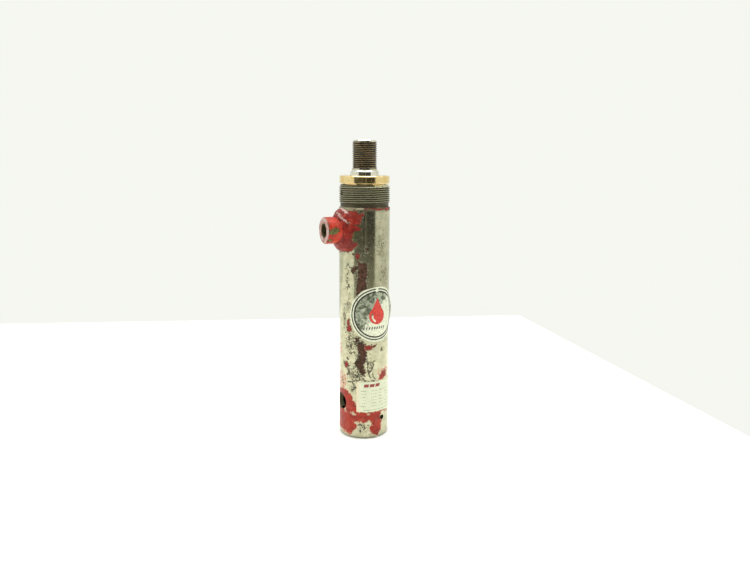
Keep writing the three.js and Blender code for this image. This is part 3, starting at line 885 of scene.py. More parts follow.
def rod_metal():
    """Bright ground chrome, with an oily dark thread above the neck."""
    m = Surface("rod_chrome")
    coarse, medium, fine = m.noise(6.0, 3.0), m.noise(1.6, 3.0), m.noise(0.5, 2.0)
    groove, oily = m.field("groove"), m.field("oily")
    scuff = m.noise(0.35, 2.0, place=m.stretched(1.0, 1.0, 0.05))
    film = m.step(m.noise(9.0, 3.0), 0.42, 0.7) * 0.6
    chrome = m.mix(film, (222, 220, 206), (184, 176, 134))
    crest = m.mix(m.step(coarse, 0.4, 0.62), (128, 112, 88), (104, 98, 76))
    deep = m.mix(m.step(medium, 0.4, 0.6), (36, 27, 17), (50, 38, 25))
    dirt = m.step(groove + m.swing(medium, 0.25), 0.35, 0.8)
    color = m.mix(oily, chrome, m.mix(dirt, crest, deep))
    metal = 1.0 - oily * dirt * 0.75
    rough = 0.05 + (scuff * 0.06 + film * 0.1)
    rough = m.blend(oily, rough, 0.3 + dirt * 0.3)
    relief = scuff * 0.12 + oily * medium
    relief += oily * fine * 0.5
    return m.done(color=color, metal=metal, rough=rough, normal=m.bump(relief, 0.05))


def moulded(name, light, dark, rough, grain=0.5, depth=0.04, gloss=0.4):
    """Rubber and plastics: fine grain, a little dust, uneven gloss."""
    m = Surface(name)
    coarse, medium, fine = m.noise(5.0, 3.0), m.noise(1.4, 3.0), m.noise(grain, 2.0)
    color = m.mix(m.step(coarse, 0.35, 0.65), light, dark)
    roughness = rough + (medium * 0.14 + fine * 0.06)
    relief = fine * 0.6 + medium * 0.4
    return m.done(
        color=color, metal=0.0, rough=roughness, specular=gloss, normal=m.bump(relief, depth)
    )


# ---------------------------------------------------------------- the tube

def tube_step(p):
    radius, height = p
    if radius > 22 and height > SHOULDER + 3.5:
        return 0.21
    if radius > 23 and height > SHOULDER - 4:
        return 0.5
    if radius > 20.5:
        return 1.0
    return 5.0


def notch_depth(turn, height):
    """The chisel mark that locks the collar, across its top edge."""
    off = front_angle(turn, 46) * ARC
    return 0.9 * np.exp(-((off / 0.8) ** 2)) * smooth_step(height, 249.6, 251.6)


def tube_shape(turn, radius, height):
    outer = radius > 22.5
    threaded = outer & (height > SHOULDER + 3)
    dents = 0.16 * np.clip(smooth_noise(turn * 40 / TAU, height / 1.3, 5, 40) - 0.35, 0, 1)
    cut = thread_radius(turn, height, COLLAR) - dents - notch_depth(turn, height)
    radius = np.where(threaded, np.minimum(radius, cut), radius)
    foot = outer & (height < 6)
    scuffs = 0.18 * smooth_noise(turn * 60 / TAU, height / 2.0, 9, 60)
    return np.where(foot, radius + np.minimum(scuffs, 0), radius), height


def groove_field(xyz, thread, low):
    """How deep in a thread's groove each point lies, from 0 at the crest to 1 at the root."""
    radius = np.hypot(xyz[:, 0], xyz[:, 1])
    share = (thread["crest"] - radius) / (thread["crest"] - thread["root"])
    return np.clip(share, 0, 1) * (xyz[:, 2] > low)


def cylinder_tube():
    corners = [
        (THREAD_R + 0.6, 0, 0.2), (22.2, 0, 0.5), (24.1, 0.9, 2.0), (TUBE_R, 3, 3.0),
        (TUBE_R, SHOULDER - 0.8, 0.25), (24.4, SHOULDER, 0.25), (RELIEF_R, SHOULDER, 0.4),
        (RELIEF_R, RELIEF_TOP, 0.3), (COLLAR["crest"], 237, 0), (COLLAR["crest"], 251.4, 0.2),
        (23, TUBE_TOP, 0.25), (THREAD_R + 0.8, TUBE_TOP, 0.2), (THREAD_R, TUBE_TOP - 0.8, 0),
        (THREAD_R, GLAND_THREAD_LOW, 0), (BUSH_SEAT[0], GLAND_THREAD_LOW, 0.3), (*BUSH_SEAT, 0),
        (BORE_R, BUSH_SEAT[1], 0.3), (BORE_R, BASE_THREAD_TOP, 0.3),
        (THREAD_R, BASE_THREAD_TOP, 0), (THREAD_R, 0.6, 0),
    ]
    tube = revolved("tube", corners, 192, tube_step, tube_shape)
    beyond = TUBE_R + 4
    drilled(
        tube,
        drill(SPOT_R, 10, beyond, PORT_DEG, BASE_PORT_Z, 56),
        drill(PASSAGE_R, 10, beyond, PORT_DEG, ROD_PORT_Z),
        drill(SCREW_HOLE_R, 12, beyond, *BASE_SCREW),
        drill(SCREW_HOLE_R, 12, beyond, *GLAND_SCREW),
    )
    add_wear(tube)
    xyz = points_mm(tube)
    add_field(tube, "groove", groove_field(xyz, COLLAR, SHOULDER + 0.5))
    oily = smooth_step(xyz[:, 2], SHOULDER - 0.8, SHOULDER - 0.1)
    oily *= smooth_step(xyz[:, 2], TUBE_TOP - 1.9, TUBE_TOP - 2.5)
    s, z = skin(tube)
    smeared = smooth_step(s, -125 * ARC, -112 * ARC) * smooth_step(s, 27 * ARC, 21 * ARC)
    oily = np.maximum(oily, 0.8 * smeared * smooth_step(z, SHOULDER - 3.0, SHOULDER - 1.8))
    add_field(tube, "oily", oily)
    on_thread = (xyz[:, 2] > RELIEF_TOP + 0.5) & (np.hypot(xyz[:, 0], xyz[:, 1]) > RELIEF_R - 0.3)
    on_thread &= xyz[:, 2] < TUBE_TOP - 0.5
    return finished(tube, "barrel", "plated_steel", worn_steel("worn_plate"), "cylinder_tube",
                    soft=on_thread)


# ---------------------------------------------------------------- the rod-side port

def port_thread(turn, radius, height, mouth, floor):
    """A tapered internal thread between the port's mouth and its floor."""
    thread = {"crest": 0.42, "root": -0.42, "pitch": PORT_PITCH, "low": floor}
    inside = (height > floor + 0.8) & (height < mouth - 0.5) & (radius > PASSAGE_R + 1.5)
    inside &= radius < PORT_R + 0.5
    return np.where(inside, radius + 0.35 - thread_radius(turn, height, thread), radius)


def boss_shape(turn, radius, height):
    sideways = radius * np.sin(turn)
    saddle = np.sqrt((TUBE_R + GAP) ** 2 - np.minimum(sideways, TUBE_R) ** 2)
    seat = height < BOSS_SEAT + 1
    height = np.maximum(height, saddle)
    radius = port_thread(turn, radius, height, BOSS_FACE, BOSS_FLOOR)
    rim = (radius > BOSS_R - 3) & (height > BOSS_FACE - 2.5)
    wear = smooth_noise(turn * 26 / TAU, height / 2.5, 12, 26)
    nick = hump(turn, 3.9, 0.25)
    radius = radius + rim * (0.22 * np.minimum(wear, 0) - 0.7 * nick * (radius > BOSS_R - 0.9))
    body = (radius > BOSS_R - 1) & ~seat
    return radius + body * 0.1 * smooth_noise(turn * 12 / TAU, height / 4, 15, 12), height


def port_boss():
    corners = [
        (PASSAGE_R, BOSS_SEAT), (BOSS_R, BOSS_SEAT), (BOSS_R, BOSS_FACE - 1.1, 1.0),
        (BOSS_R - 1.1, BOSS_FACE, 0.9), (PORT_R + 1.0, BOSS_FACE, 0.35),
        (PORT_R, BOSS_FACE - 0.8, 0.2), (PORT_R - 0.4, BOSS_FLOOR, 0.4),
        (PASSAGE_R, BOSS_FLOOR - 1.5, 0.3),
    ]

    def step(p):
        radius, height = p
        if PASSAGE_R + 1.5 < radius < PORT_R + 0.3 and height > BOSS_FLOOR:
            return 0.16
        return 0.6 if height > BOSS_SEAT + 1 else 2.0
    place = outward(PORT_DEG, ROD_PORT_Z)
    boss = revolved("boss", corners, 88, step, boss_shape, place=place)
    xyz = points_mm(boss)
    out, side, up = -xyz[:, 0], xyz[:, 1], xyz[:, 2] - ROD_PORT_Z
    radius = np.hypot(side, up)
    face = out - (BOSS_FACE - 0.9)
    bore = PORT_R + 1.2 - radius
    length = out + 1.2 * np.sin(up / 2.1) - 37.6
    patch = np.minimum(oval_field(length, up - 0.4, (0, 0), (5.0, 3.4)), -side - 4)
    streak = np.minimum(oval_field(length, up + 8.6, (3.6, 0), (2.2, 1.2)), -side)
    add_distance(boss, "bare", nearest_of([face, bore, patch, streak]))
    # Painted highlight: the boss's face is painted pinkish, for glare.
    add_field(boss, "pink", smooth_step(face, 0.1, 0.5) * smooth_step(radius, PORT_R, PORT_R + 1))
    # Painted shade: the raw steel inside the port is painted dark, more so deeper in.
    inside = smooth_step(radius, PORT_R + 0.9, PORT_R - 0.2)
    add_field(boss, "painted_shade", inside * (0.6 + 0.4 * smooth_step(out, BOSS_FACE - 2, BOSS_FACE - 7)))
    # Painted light: the boss's red is a lighter copy of the enamel, for the light that falls on the
    # spigot.
    enamel = enamelled("red_enamel", (188, 56, 36), (158, 40, 27))
    return finished(boss, "barrel", "red_paint", enamel, "port_boss")


def weld_points_at(turn, radius, rise):
    """A point of the weld, its rise measured from the tube's curved surface."""
    sideways, up = radius * np.sin(turn), radius * np.cos(turn)
    distance = np.sqrt(TUBE_R ** 2 - np.minimum(np.abs(sideways), TUBE_R - 0.5) ** 2) + rise
    return np.stack([-distance, sideways, ROD_PORT_Z + up], -1)


def boss_weld():
    inner = BOSS_R + GAP
    columns, across = 168, 26
    turns = TAU * np.arange(columns) / columns
    share = np.linspace(0, 1, across)
    turn, t = np.meshgrid(turns, share)
    lean = np.pi / 2 * t
    flare = (1 - t) + WELD_BULGE * (np.cos(lean) - (1 - t))
    climb = t + WELD_BULGE * (np.sin(lean) - t)
    ripple = np.sin(turn * 34 + 3.0 * np.cos(turn * 3) + lean * 1.5)
    lumps = smooth_noise(turn * 22 / TAU, t * 4, 31, 22)
    body = np.sin(np.pi * np.clip(t, 0, 1)) * 0.9 + 0.1
    bulge = (0.14 * ripple + 0.5 * lumps) * body
    radius = inner + (WELD_TOE - inner) * flare * (1 + 0.02 * lumps) + 0.4 * bulge
    rise = WELD_HEIGHT * climb * 0.98 + bulge * 0.7
    rise = rise + 0.8 * hump(turn, 5.7, 0.1) * body
    radius = np.maximum(radius, inner)
    outer = weld_points_at(turn, radius, rise)
    under_radius = np.array([[inner], [(inner + WELD_TOE) / 2], [WELD_TOE - 0.4]])
    under = weld_points_at(turn[:3], np.repeat(under_radius, columns, 1), 0.0)
    away = np.hypot(under[..., 0], under[..., 1])
    under[..., :2] *= ((TUBE_R + 0.06) / away)[..., None]
    xyz = np.concatenate([outer, under]).reshape(-1, 3)
    weld = new_object("weld", xyz, grid_faces(across + 3, columns, True, True))
    join_points(weld)
    face_outward(weld)
    s, z = skin(weld)
    paint = areas_field(s, z, RED_AREAS)
    xyz = points_mm(weld)
    # Painted highlight: a bare pinkish stroke along the weld's ridge and a bare pinkish top-left edge
    # stand for glare.
    ridge_highlight = stroke_field(xyz[:, 1], xyz[:, 2], [(-1.5, 227.5), (-9, 224), (-15.5, 218.4)], 1.5)
    top_left = polygon_field(s, z, on_skin([(-75, 234), (-30, 234), (-37, 226), (-52, 228)]))
    add_distance(weld, "bare", nearest_of([-paint - 0.5, ridge_highlight, top_left - 0.8]))
    top = smooth_step(z, 219, 224) * smooth_step(s, -32 * ARC, -44 * ARC)
    add_field(weld, "pink", np.maximum(smooth_step(ridge_highlight, -0.6, 0.2), top))
    # Painted reflection: the weld's bare steel is painted dark on its right side, for the dark room it
    # faces.
    add_field(weld, "painted_shade", 0.75 * smooth_step(s, -26 * ARC, -18 * ARC))
    # Painted shade: the weld's red is a darker copy of the same enamel, for the dark room's shade on it.
    enamel = enamelled("red_enamel_weld_shaded", (130, 30, 20), (98, 22, 16))
    return finished(weld, "barrel", "red_paint", enamel, "boss_weld")


# ---------------------------------------------------------------- base plug and lock screws

def base_plug(steel):
    outer = THREAD_R - GAP
    seal = BORE_R - GAP
    corners = [
        (0, 0), (outer - 0.6, 0, 0.1), (outer, 0.6, 0.1), (outer, BASE_THREAD_TOP - GAP, 0),
        (seal, BASE_THREAD_TOP - GAP, 0.2), (seal, 45, 0.15), (15.6, 45, 0.3), (15.6, 49, 0.3),
        (seal, 49, 0.15), (seal, PLUG_TOP - 0.8, 0.1), (seal - 0.8, PLUG_TOP, 0.1),
        (0, PLUG_TOP),
    ]
    plug = revolved("plug", corners, 96, lambda p: 3.0, closed=False)
    mouth = SPOT_DEPTH

    def thread(turn, radius, height):
        return port_thread(turn, radius, height, mouth, 5.0), height
    port = revolved(
        "port", [(0, 5), (PORT_R - 0.4, 5.3), (PORT_R, mouth - 0.6), (PORT_R + 0.8, mouth + 0.2),
                 (PORT_R + 0.8, 20), (0, 20)],
        56, lambda p: 0.16 if 5.5 < p[1] < mouth and p[0] > 5 else 2.0, thread,
        closed=False, place=outward(PORT_DEG, BASE_PORT_Z))
    drilled(
        plug,
        drill(SPOT_R, SPOT_DEPTH, 24, PORT_DEG, BASE_PORT_Z, 56),
        port,
        drill(PASSAGE_R, -PASSAGE_R, 6, PORT_DEG, BASE_PORT_Z),
        standing_drill(PASSAGE_R, 0, 0, BASE_PORT_Z, PLUG_TOP + 1),
        drill(SCREW_HOLE_R, 17.8, 24, *BASE_SCREW),
        standing_drill(2.4, 12, 90, -1, 6),
        standing_drill(2.4, 12, -90, -1, 6),
    )
    return finished(plug, "barrel", "machined_steel", steel, "base_plug")


def lock_screw(name, node, screw, steel):
    """A grub screw with a hexagon socket, sunk in its hole."""
    inner, outer = 18.1, 23.4
    corners = [
        (0, inner), (1.7, inner, 0.1), (2.3, inner + 0.6, 0.1), (2.3, outer - 0.3, 0.1),
        (2.0, outer, 0.1), (0, outer),
    ]
    place = outward(*screw)
    body = revolved(name, corners, 32, lambda p: 0.5, closed=False, place=place)
    socket = [(0, outer - 2), (1.4, outer - 2), (1.4, outer + 1), (0, outer + 1)]
    drilled(body, revolved("socket", socket, 6, closed=False, place=place))
    return finished(body, "barrel", "dark_steel", steel, node)


# ---------------------------------------------------------------- gland nut and wiper

def gland_shape(turn, radius, height):
    rim = radius > FLANGE_R - 1.2
    wear = smooth_noise(turn * 34 / TAU, height / 1.2, 44, 34)
    edge = np.maximum(
        smooth_step(height, FLANGE_TOP - 1.2, FLANGE_TOP - 0.4),
        smooth_step(height, FLANGE_LOW + 1.0, FLANGE_LOW + 0.3),
    )
    return radius + rim * edge * 0.14 * np.minimum(wear, 0), height


def gland_nut(brass):
    body = THREAD_R - GAP
    corners = [
        (ROD_R + 0.3, 229.6, 0.2), (body - 0.8, 229.6, 0.1), (body, 230.4, 0.1),
        (body, TUBE_TOP - 0.6, 0.1), (body - 0.8, TUBE_TOP, 0.2), (body - 0.8, FLANGE_LOW, 0.2),
        (FLANGE_R - 0.3, FLANGE_LOW, 0.15), (FLANGE_R, FLANGE_LOW + 0.4, 0.2),
        (FLANGE_R, FLANGE_TOP - 0.8, 0.35), (FLANGE_R - 0.8, FLANGE_TOP, 0.35),
        (15.1, FLANGE_TOP, 0.15), (15.1, 261.2, 0), (17.3, 261.2, 0.2), (17.3, 256.4, 0.2),
        (ROD_R + 0.3, 256.4, 0.1),
    ]

    def step(p):
        return 0.7 if p[1] > FLANGE_LOW - 1 and p[0] > 18 else 4.0
    nut = revolved("gland", corners, 160, step, gland_shape)
    pins = [
        standing_drill(2, 20.3, 45 + 90 * i, FLANGE_TOP - 4, FLANGE_TOP + 1) for i in range(4)
    ]
    drilled(nut, drill(SCREW_HOLE_R, 17.8, 24, *GLAND_SCREW), *pins)
    return finished(nut, "barrel", "gland_brass", brass, "gland_nut")


def rod_wiper(rubber):
    corners = [
        (ROD_R + GAP, 256.6, 0.1), (17.1, 256.6, 0.3), (17.1, 261, 0.3), (14.9, 261, 0.2),
        (14.9, FLANGE_TOP - 0.2, 0.1), (ROD_R + GAP, FLANGE_TOP, 0.05),
    ]
    wiper = revolved("wiper", corners, 128, lambda p: 0.8)
    return finished(wiper, "barrel", "seal_rubber", rubber, "rod_wiper")


# ---------------------------------------------------------------- rod

def rod_step(p):
    radius, height = p
    if height > STUD["low"] - 0.6 and radius > 9:
        return 0.2
    return 0.6 if height > NECK_TOP - 4 else 4.0


def rod_shape(turn, radius, height):
    threaded = (height > STUD["low"]) & (radius > 9.5)
    worn = np.exp(-(((front_angle(turn) + 60) / 15) ** 2) - ((height - 289.5) / 3.6) ** 2)
    chips = smooth_noise(turn * 30 / TAU, height / 1.1, 51, 30)
    crest = STUD["crest"] - worn * (0.55 + 0.35 * chips) - 0.16 * np.clip(chips - 0.45, 0, 1)
    cut = np.minimum(thread_radius(turn, height, STUD), crest)
    return np.where(threaded, np.minimum(radius, cut), radius), height


def piston_rod():
    corners = [
        (0, ROD_LOW), (STUB_R - 0.8, ROD_LOW, 0.1), (STUB_R, ROD_LOW + 0.8, 0.1),
        (STUB_R, ROD_SHOULDER, 0.2), (ROD_R, ROD_SHOULDER, 0.2), (ROD_R, NECK_TOP, 0.35),
        (STUD_R, STUD_LOW, 0.3), (STUD_R, STUD["low"] - 0.1, 0),
        (STUD_R, ROD_TOP - STUD_CHAMFER, 0), (STUD_R - STUD_CHAMFER, ROD_TOP, 0.25),
        (3, ROD_TOP, 0.15), (1.2, ROD_TOP - 2.5, 0.1),
        (1.2, ROD_TOP - 4.2, 0.1), (0, ROD_TOP - 4.9),
    ]
    rod = revolved("rod", corners, 128, rod_step, rod_shape, closed=False)
    xyz = points_mm(rod)
    add_field(rod, "groove", groove_field(xyz, STUD, STUD["low"]))
    z = xyz[:, 2]
    oily = smooth_step(z, STUD_LOW, STUD_LOW + 0.3) * 0.35
    oily = np.maximum(oily, smooth_step(z, STUD["low"] - 0.4, STUD["low"] + 0.1))
    oily *= smooth_step(z, ROD_TOP - 1.2, ROD_TOP - 1.8)
    end = (np.hypot(xyz[:, 0], xyz[:, 1]) < 3) & (z > ROD_TOP - 6)
    add_field(rod, "oily", np.maximum(oily, end * 0.8))
    on_thread = (z > STUD["low"] + 0.3) & (z < ROD_TOP - 1.8)
    return finished(rod, "rod", "rod_chrome", rod_metal(), "piston_rod", soft=on_thread)


# ---------------------------------------------------------------- printed sheets

DROP = {"x": 0.4, "y": -1.4, "radius": 8.6, "tip": 18.5}


def drop_field(x, y):
    """An oil drop: a round foot under a pointed tip."""
    x, y = x - DROP["x"], y - DROP["y"]
    foot = DROP["radius"] - np.hypot(x, y)
    share = np.clip(y / DROP["tip"], 0, 1)
    width = DROP["radius"] * (1 - share) ** 1.25 * (1 + 0.35 * share)
    cone = np.where((y > 0) & (y < DROP["tip"]), width - np.abs(x), -5.0)
    drop = np.maximum(foot, np.clip(cone, -5, 5) * 0.8)
    shine = stroke_field(x, y, [(-5.2, 1.8), (-4.9, -2.4), (-2.4, -5.4)], 1.7)
    return np.minimum(drop, -shine)


def round_decal():
    columns, rings = 168, 52
    turns = TAU * np.arange(columns) / columns
    turn, radius = np.meshgrid(turns, np.linspace(0, DECAL_R, rings))
    ragged = 1 + smooth_step(radius, 25.8, DECAL_R) * (
        0.016 * smooth_noise(turn * 30 / TAU, radius * 0, 61, 30) - 0.016)
    x, y = radius * np.cos(turn) * ragged, radius * np.sin(turn) * ragged
    peel = 2.1 * smooth_step(x, 20, DECAL_R) * np.exp(-(((y - 2) / 13) ** 2))
    crinkle = 0.03 * (smooth_noise(x / 3.1 + 30, y / 3.1 + 30, 62) + 1)
    lift = peel + crinkle
    turn_on = math.radians(DECAL_DEG) + x / TUBE_R
    sheets = []
    for top in (False, True):
        away = SHEET_R + lift + (SHEET_T if top else 0.0) - (0.0 if top else crinkle * 0.9)
        sheets.append(round_axis(away, turn_on, DECAL_Z + y))
    back, front = sheets
    xyz = np.concatenate([front, back[::-1]]).reshape(-1, 3)
    decal = new_object("decal", xyz, grid_faces(2 * rings, columns, False, True))
    flat_x = np.concatenate([x, x[::-1]]).ravel()
    flat_y = np.concatenate([y, y[::-1]]).ravel()
    printed = np.concatenate([np.ones_like(x), np.zeros_like(x)]).ravel()
    add_flat(decal, "flat", np.stack([flat_x, flat_y, printed], -1))
    add_field(decal, "drop", drop_field(flat_x, flat_y))
    cracks = [
        [(-27, -13), (-22, -12.4), (-17.5, -9.6)], [(-25, 10), (-19, 15), (-17, 19)],
        [(-23, 15.5), (-18, 20)], [(-21, -18), (-24, -22)], [(-6, -24), (-5, -28)],
        [(2, -22), (3, -28)], [(12, 6), (16, 2), (19, -6)], [(-20, 8), (-14, 10), (-9, 8)],
    ]
    crack_field = nearest_of(stroke_field(flat_x, flat_y, c, 0.5) for c in cracks)
    scuff = oval_field(flat_x, flat_y, (-18.6, -9.6), (1.9, 1.2))
    add_field(decal, "cracks", np.maximum(crack_field, scuff))
    join_points(decal)
    face_outward(decal)
    return finished(decal, "barrel", "foil", decal_foil(), "round_decal")


def decal_foil():
    """Silver film with two printed rings, a red oil drop and a row of plain dark bars."""
    m = Surface("decal_foil")
    x, y, printed = m.parts(m.flat())
    radius = m.length(x, y)
    flat = m.stretched(MM, MM, 0.0, m.flat())
    medium, fine = m.noise(2.4, 3.0, flat), m.noise(0.8, 3.0, flat)
    uneven = m.swing(fine, 0.3)
    rim_at = radius + uneven

    def ring(centre, width):
        off = abs(rim_at - centre)
        return m.step(off, width / 2 + 0.08, width / 2 - 0.08)
    rings = m.larger(ring(25.3, 1.25), ring(22.7, 1.55))
    gap = m.step(abs(x), 1.5, 1.3) * m.step(y, 0.0, 0.1)
    ink = rings * (1.0 - gap)
    slanted = x - (y + 13.6) * 0.35
    share = m.math("FRACT", (slanted + 14.0) * (1 / 2.7))
    bars = m.band(share, 0.08, 0.55, 0.03) * m.band(y, -14.8, -12.3)
    ink = m.larger(ink, bars * m.band(slanted, -14.0, 10.3))
    cracks = m.step(m.field("cracks") + m.swing(medium, 0.9), -0.1, 0.12)
    specks = m.step(m.noise(1.3, 4.0, flat, rough=0.6), 0.68, 0.71)
    dirt = m.larger(cracks, specks)
    drop = m.step(m.field("drop") + m.swing(fine, 0.25), -0.08, 0.08)

    inside = m.step(radius, 22.6, 22.2)
    upper = y + (x * -1.1 + m.swing(m.noise(7.0, 3.0, flat), 14.0))
    shiny = inside * m.step(upper, -2.0, 5.0)
    white = m.mix(m.step(medium, 0.44, 0.66), (222, 224, 198), (196, 200, 176))
    silver = m.mix(
        m.step(m.noise(5.0, 4.0, flat, warp=0.6), 0.4, 0.62), (184, 190, 168), (104, 112, 92)
    )
    film = m.mix(shiny, white, silver)
    red = m.mix(m.step(medium, 0.4, 0.62), (206, 60, 44), (184, 40, 34))
    color = m.mix(drop, film, red)
    color = m.mix(ink, color, (34, 32, 22))
    color = m.mix(dirt * 0.85, color, (62, 56, 40))
    color = m.mix(printed, (214, 206, 184), color)
    solid = m.larger(drop, ink, dirt)
    metal = (1.0 - solid) * printed * m.blend(shiny, 0.1, 0.85)
    rough = m.blend(solid, 0.16, 0.34) + medium * 0.16
    relief = m.noise(3.2, 3.0, flat) + fine * 0.1
    relief -= dirt * 0.5
    return m.done(color=color, metal=metal, rough=rough, normal=m.bump(relief, 0.045))


def rating_label():
    width, tall = LABEL_SIZE
    columns, rows = 150, 79
    x, y = np.meshgrid(np.linspace(0, width, columns), np.linspace(0, tall, rows))
    curl = 1.2 * smooth_step(y, 2.4, 0) * np.exp(-(((x - 34) / 4.5) ** 2))
    corner = 0.9 * smooth_step(x - y * 0.7, width - 8, width)
    crinkle = 0.02 * (smooth_noise(x / 4 + 20, y / 4 + 20, 71) + 1)
    nibble = 0.35 * np.minimum(smooth_noise(x / 1.6 + 9, y / 1.6 + 9, 72), 0)
    at_left, at_right = smooth_step(x, 0.5, 0), smooth_step(x, width - 0.5, width)
    at_foot, at_head = smooth_step(y, 0.5, 0), smooth_step(y, tall - 0.5, tall)
    x_cut = x - nibble * at_left + nibble * at_right
    y_cut = y - nibble * at_foot + nibble * at_head
    lift = curl + corner + crinkle
    turn = math.radians(LABEL_LEFT_DEG) + x_cut / TUBE_R
    low = LABEL_Z - tall / 2
    layers = []
    for away in (SHEET_R + SHEET_T + lift, SHEET_R + lift - crinkle * 0.9):
        layers.append(round_axis(away, turn, low + y_cut))
    xyz = np.concatenate(layers).reshape(-1, 3)
    count = rows * columns
    front = grid_faces(rows, columns, False, False)
    back = [[count + i for i in reversed(face)] for face in front]
    border = list(range(columns))
    border += [columns - 1 + columns * i for i in range(1, rows)]
    border += [count - 2 - i for i in range(columns - 1)]
    border += [columns * i for i in range(rows - 2, 0, -1)]
    sides = [
        [a, count + a, count + b, b] for a, b in zip(border, border[1:] + border[:1])
    ]
    label = new_object("label", xyz, front + back + sides)
    flat_x, flat_y = np.tile(x.ravel(), 2), np.tile(y.ravel(), 2)
    printed = np.repeat([1.0, 0.0], count)
    add_flat(label, "flat", np.stack([flat_x, flat_y, printed], -1))
    face_outward(label)
    return finished(label, "barrel", "label_paper", label_paper(), "rating_label")


def label_paper():
    """Pale paper with three slanted bars and rows of faint dashes: a table with no lettering."""
    m = Surface("label_paper")
    x, y, printed = m.parts(m.flat())
    flat = m.stretched(MM, MM, 0.0, m.flat())
    coarse, medium, fine = (m.noise(size, 3.0, flat) for size in (7.0, 2.0, 0.5))
    smudge = m.swing(fine, 0.06)

    slant = x - (y - 27.6) * 0.25
    heading = m.band(slant + smudge, 7.6, 12.4) * m.band(y, 26.0, 29.2)
    for x0, x1 in ((13.4, 18.4), (19.4, 24.2)):
        block = m.band(slant + smudge, x0, x1) * m.band(y, 26.0, 29.2)
        heading = m.larger(heading, block)
    circle = m.length(x - 31.4, y - 24.8)
    outline = m.band(circle, 2.7, 3.05)
    pitch = 3.2
    row = m.math("FRACT", (y - 1.2) * (1 / pitch))
    number = m.math("FLOOR", (y - 1.2) * (1 / pitch))
    in_rows = m.band(row, 0.42, 0.62, 0.05) * m.band(y, 4.4, 23.2)
    seeds = m.joined(x, number * 7.3, 0.0)
    dashes = m.step(m.noise(900.0, 1.0, seeds), 0.44, 0.5)
    columns = m.band(x, 4.2, 9.6)
    for x0, x1 in ((15.0, 21.2), (23.4, 28.4), (31.0, 37.0), (40.0, 47.0), (49.0, 56.0)):
        columns = m.larger(columns, m.band(x, x0, x1))
    writing = in_rows * dashes * columns
    rules = m.band(row, 0.0, 0.07, 0.03) * m.band(y, 4.0, 24.0)
    rules = m.larger(rules * 0.35, m.band(x, 2.6, 2.85) * m.band(y, 1.0, 30.4))
    foot = m.band(y, 1.5, 2.5) * (m.band(x, 7.0, 44.0) * dashes)

    paper = m.mix(m.step(coarse, 0.4, 0.65), (213, 215, 187), (204, 208, 180))
    cream = m.mix(m.step(medium, 0.4, 0.65), (220, 212, 182), (216, 198, 168))
    paper = m.mix(m.step(x, 2.7, 2.5), paper, cream)
    paper = m.mix(m.step(medium, 0.56, 0.72) * 0.3, paper, (186, 186, 160))
    color = m.mix(rules * 0.5, paper, (170, 178, 156))
    color = m.mix(writing * 0.75, color, (104, 110, 88))
    color = m.mix(foot * 0.6, color, (96, 140, 104))
    color = m.mix(outline * 0.6, color, (120, 134, 116))
    color = m.mix(heading, color, (140, 48, 40))
    worn = m.step(m.noise(1.5, 4.0, flat, rough=0.6), 0.66, 0.7)
    color = m.mix(worn * 0.5, color, (150, 140, 112))
    color = m.mix(printed, (216, 206, 182), color)
    rough = 0.32 + medium * 0.26
    relief = coarse + fine * 0.2
    return m.done(color=color, metal=0.0, rough=rough, normal=m.bump(relief, 0.08))


# ---------------------------------------------------------------- inner pieces kept from the CAD

def finish_inner_nodes(steel, dark_steel, rubber):
    bronze = turned_metal("bearing_bronze", (186, 138, 84), (150, 104, 60),
                          (92, 62, 38), 0.28)
    ptfe = moulded("ptfe_ring", (226, 220, 204), (206, 198, 178), 0.42, 0.8)
    polyurethane = moulded("polyurethane_seal", (46, 92, 138), (32, 70, 112), 0.34)
    looks = {
        "machined_steel": steel,
        "dark_steel": dark_steel,
        "bronze": bronze,
        "seal_rubber": rubber,
        "polyurethane": polyurethane,
        "ptfe": ptfe,
    }
    slots = {part["node"]: part["material_slot"] for part in frame["record"]["subparts"]}
    for name, node in frame["nodes"].items():
        if node.hide_render:
            continue
        node.data.materials.clear()
        node.data.materials.append(looks[slots[name]])


# ---------------------------------------------------------------- stage, lights and camera

CAMERA_SIDE = Vector((math.cos(math.radians(FRONT_DEG)), math.sin(math.radians(FRONT_DEG)), 0))
CAMERA_RIGHT = Vector((-CAMERA_SIDE.y, CAMERA_SIDE.x, 0))
CAMERA_DISTANCE_M = 0.6538
CAMERA_HEIGHT_M = 0.2819
CAMERA_PITCH_DEG = 10.8
CAMERA_YAW_DEG = 0.95
CAMERA_ROLL_DEG = 0.39
FOCAL_MM = 31.87


def stage_point(right, behind, height):
    """A place in metres, measured to the camera's right and away from it past the object."""
    return CAMERA_RIGHT * right - CAMERA_SIDE * behind + Vector((0, 0, height))


def plain_material(name, color, rough, glow, glow_color):
    """A faintly uneven material that gives off some light. Its colours are linear."""
    m = Surface(name)
    shade = m.mix(m.step(m.noise(60.0, 2.0), 0.3, 0.7), color, tuple(c * 0.985 for c in color))
    m.put(m.shader.inputs["Emission Color"], glow_color)
    m.put(m.shader.inputs["Emission Strength"], glow)
    return m.done(color=shade, rough=rough)


def stage_mesh(name, points, faces, material):
    obj = mesh_object(name, [tuple(p) for p in points], faces)
    obj.data.materials.append(material)
    return obj


def unseen(obj):
    """Shows only in reflections, never to the camera."""
    obj.visible_camera = False
    obj.visible_shadow = False
    obj.visible_diffuse = False
    return obj


def make_floor():
    corners = [(-1.5, 0.361), (0.279, 0.503), (0.66, -1.2), (-1.5, -1.2)]
    points = [stage_point(right, behind, 0) for right, behind in corners]
    pale = (0.9, 0.9, 0.885, 1)
    material = plain_material("floor", pale, 0.7, 0.0, pale)
    stage_mesh("floor", points, [(0, 1, 2, 3)], material)


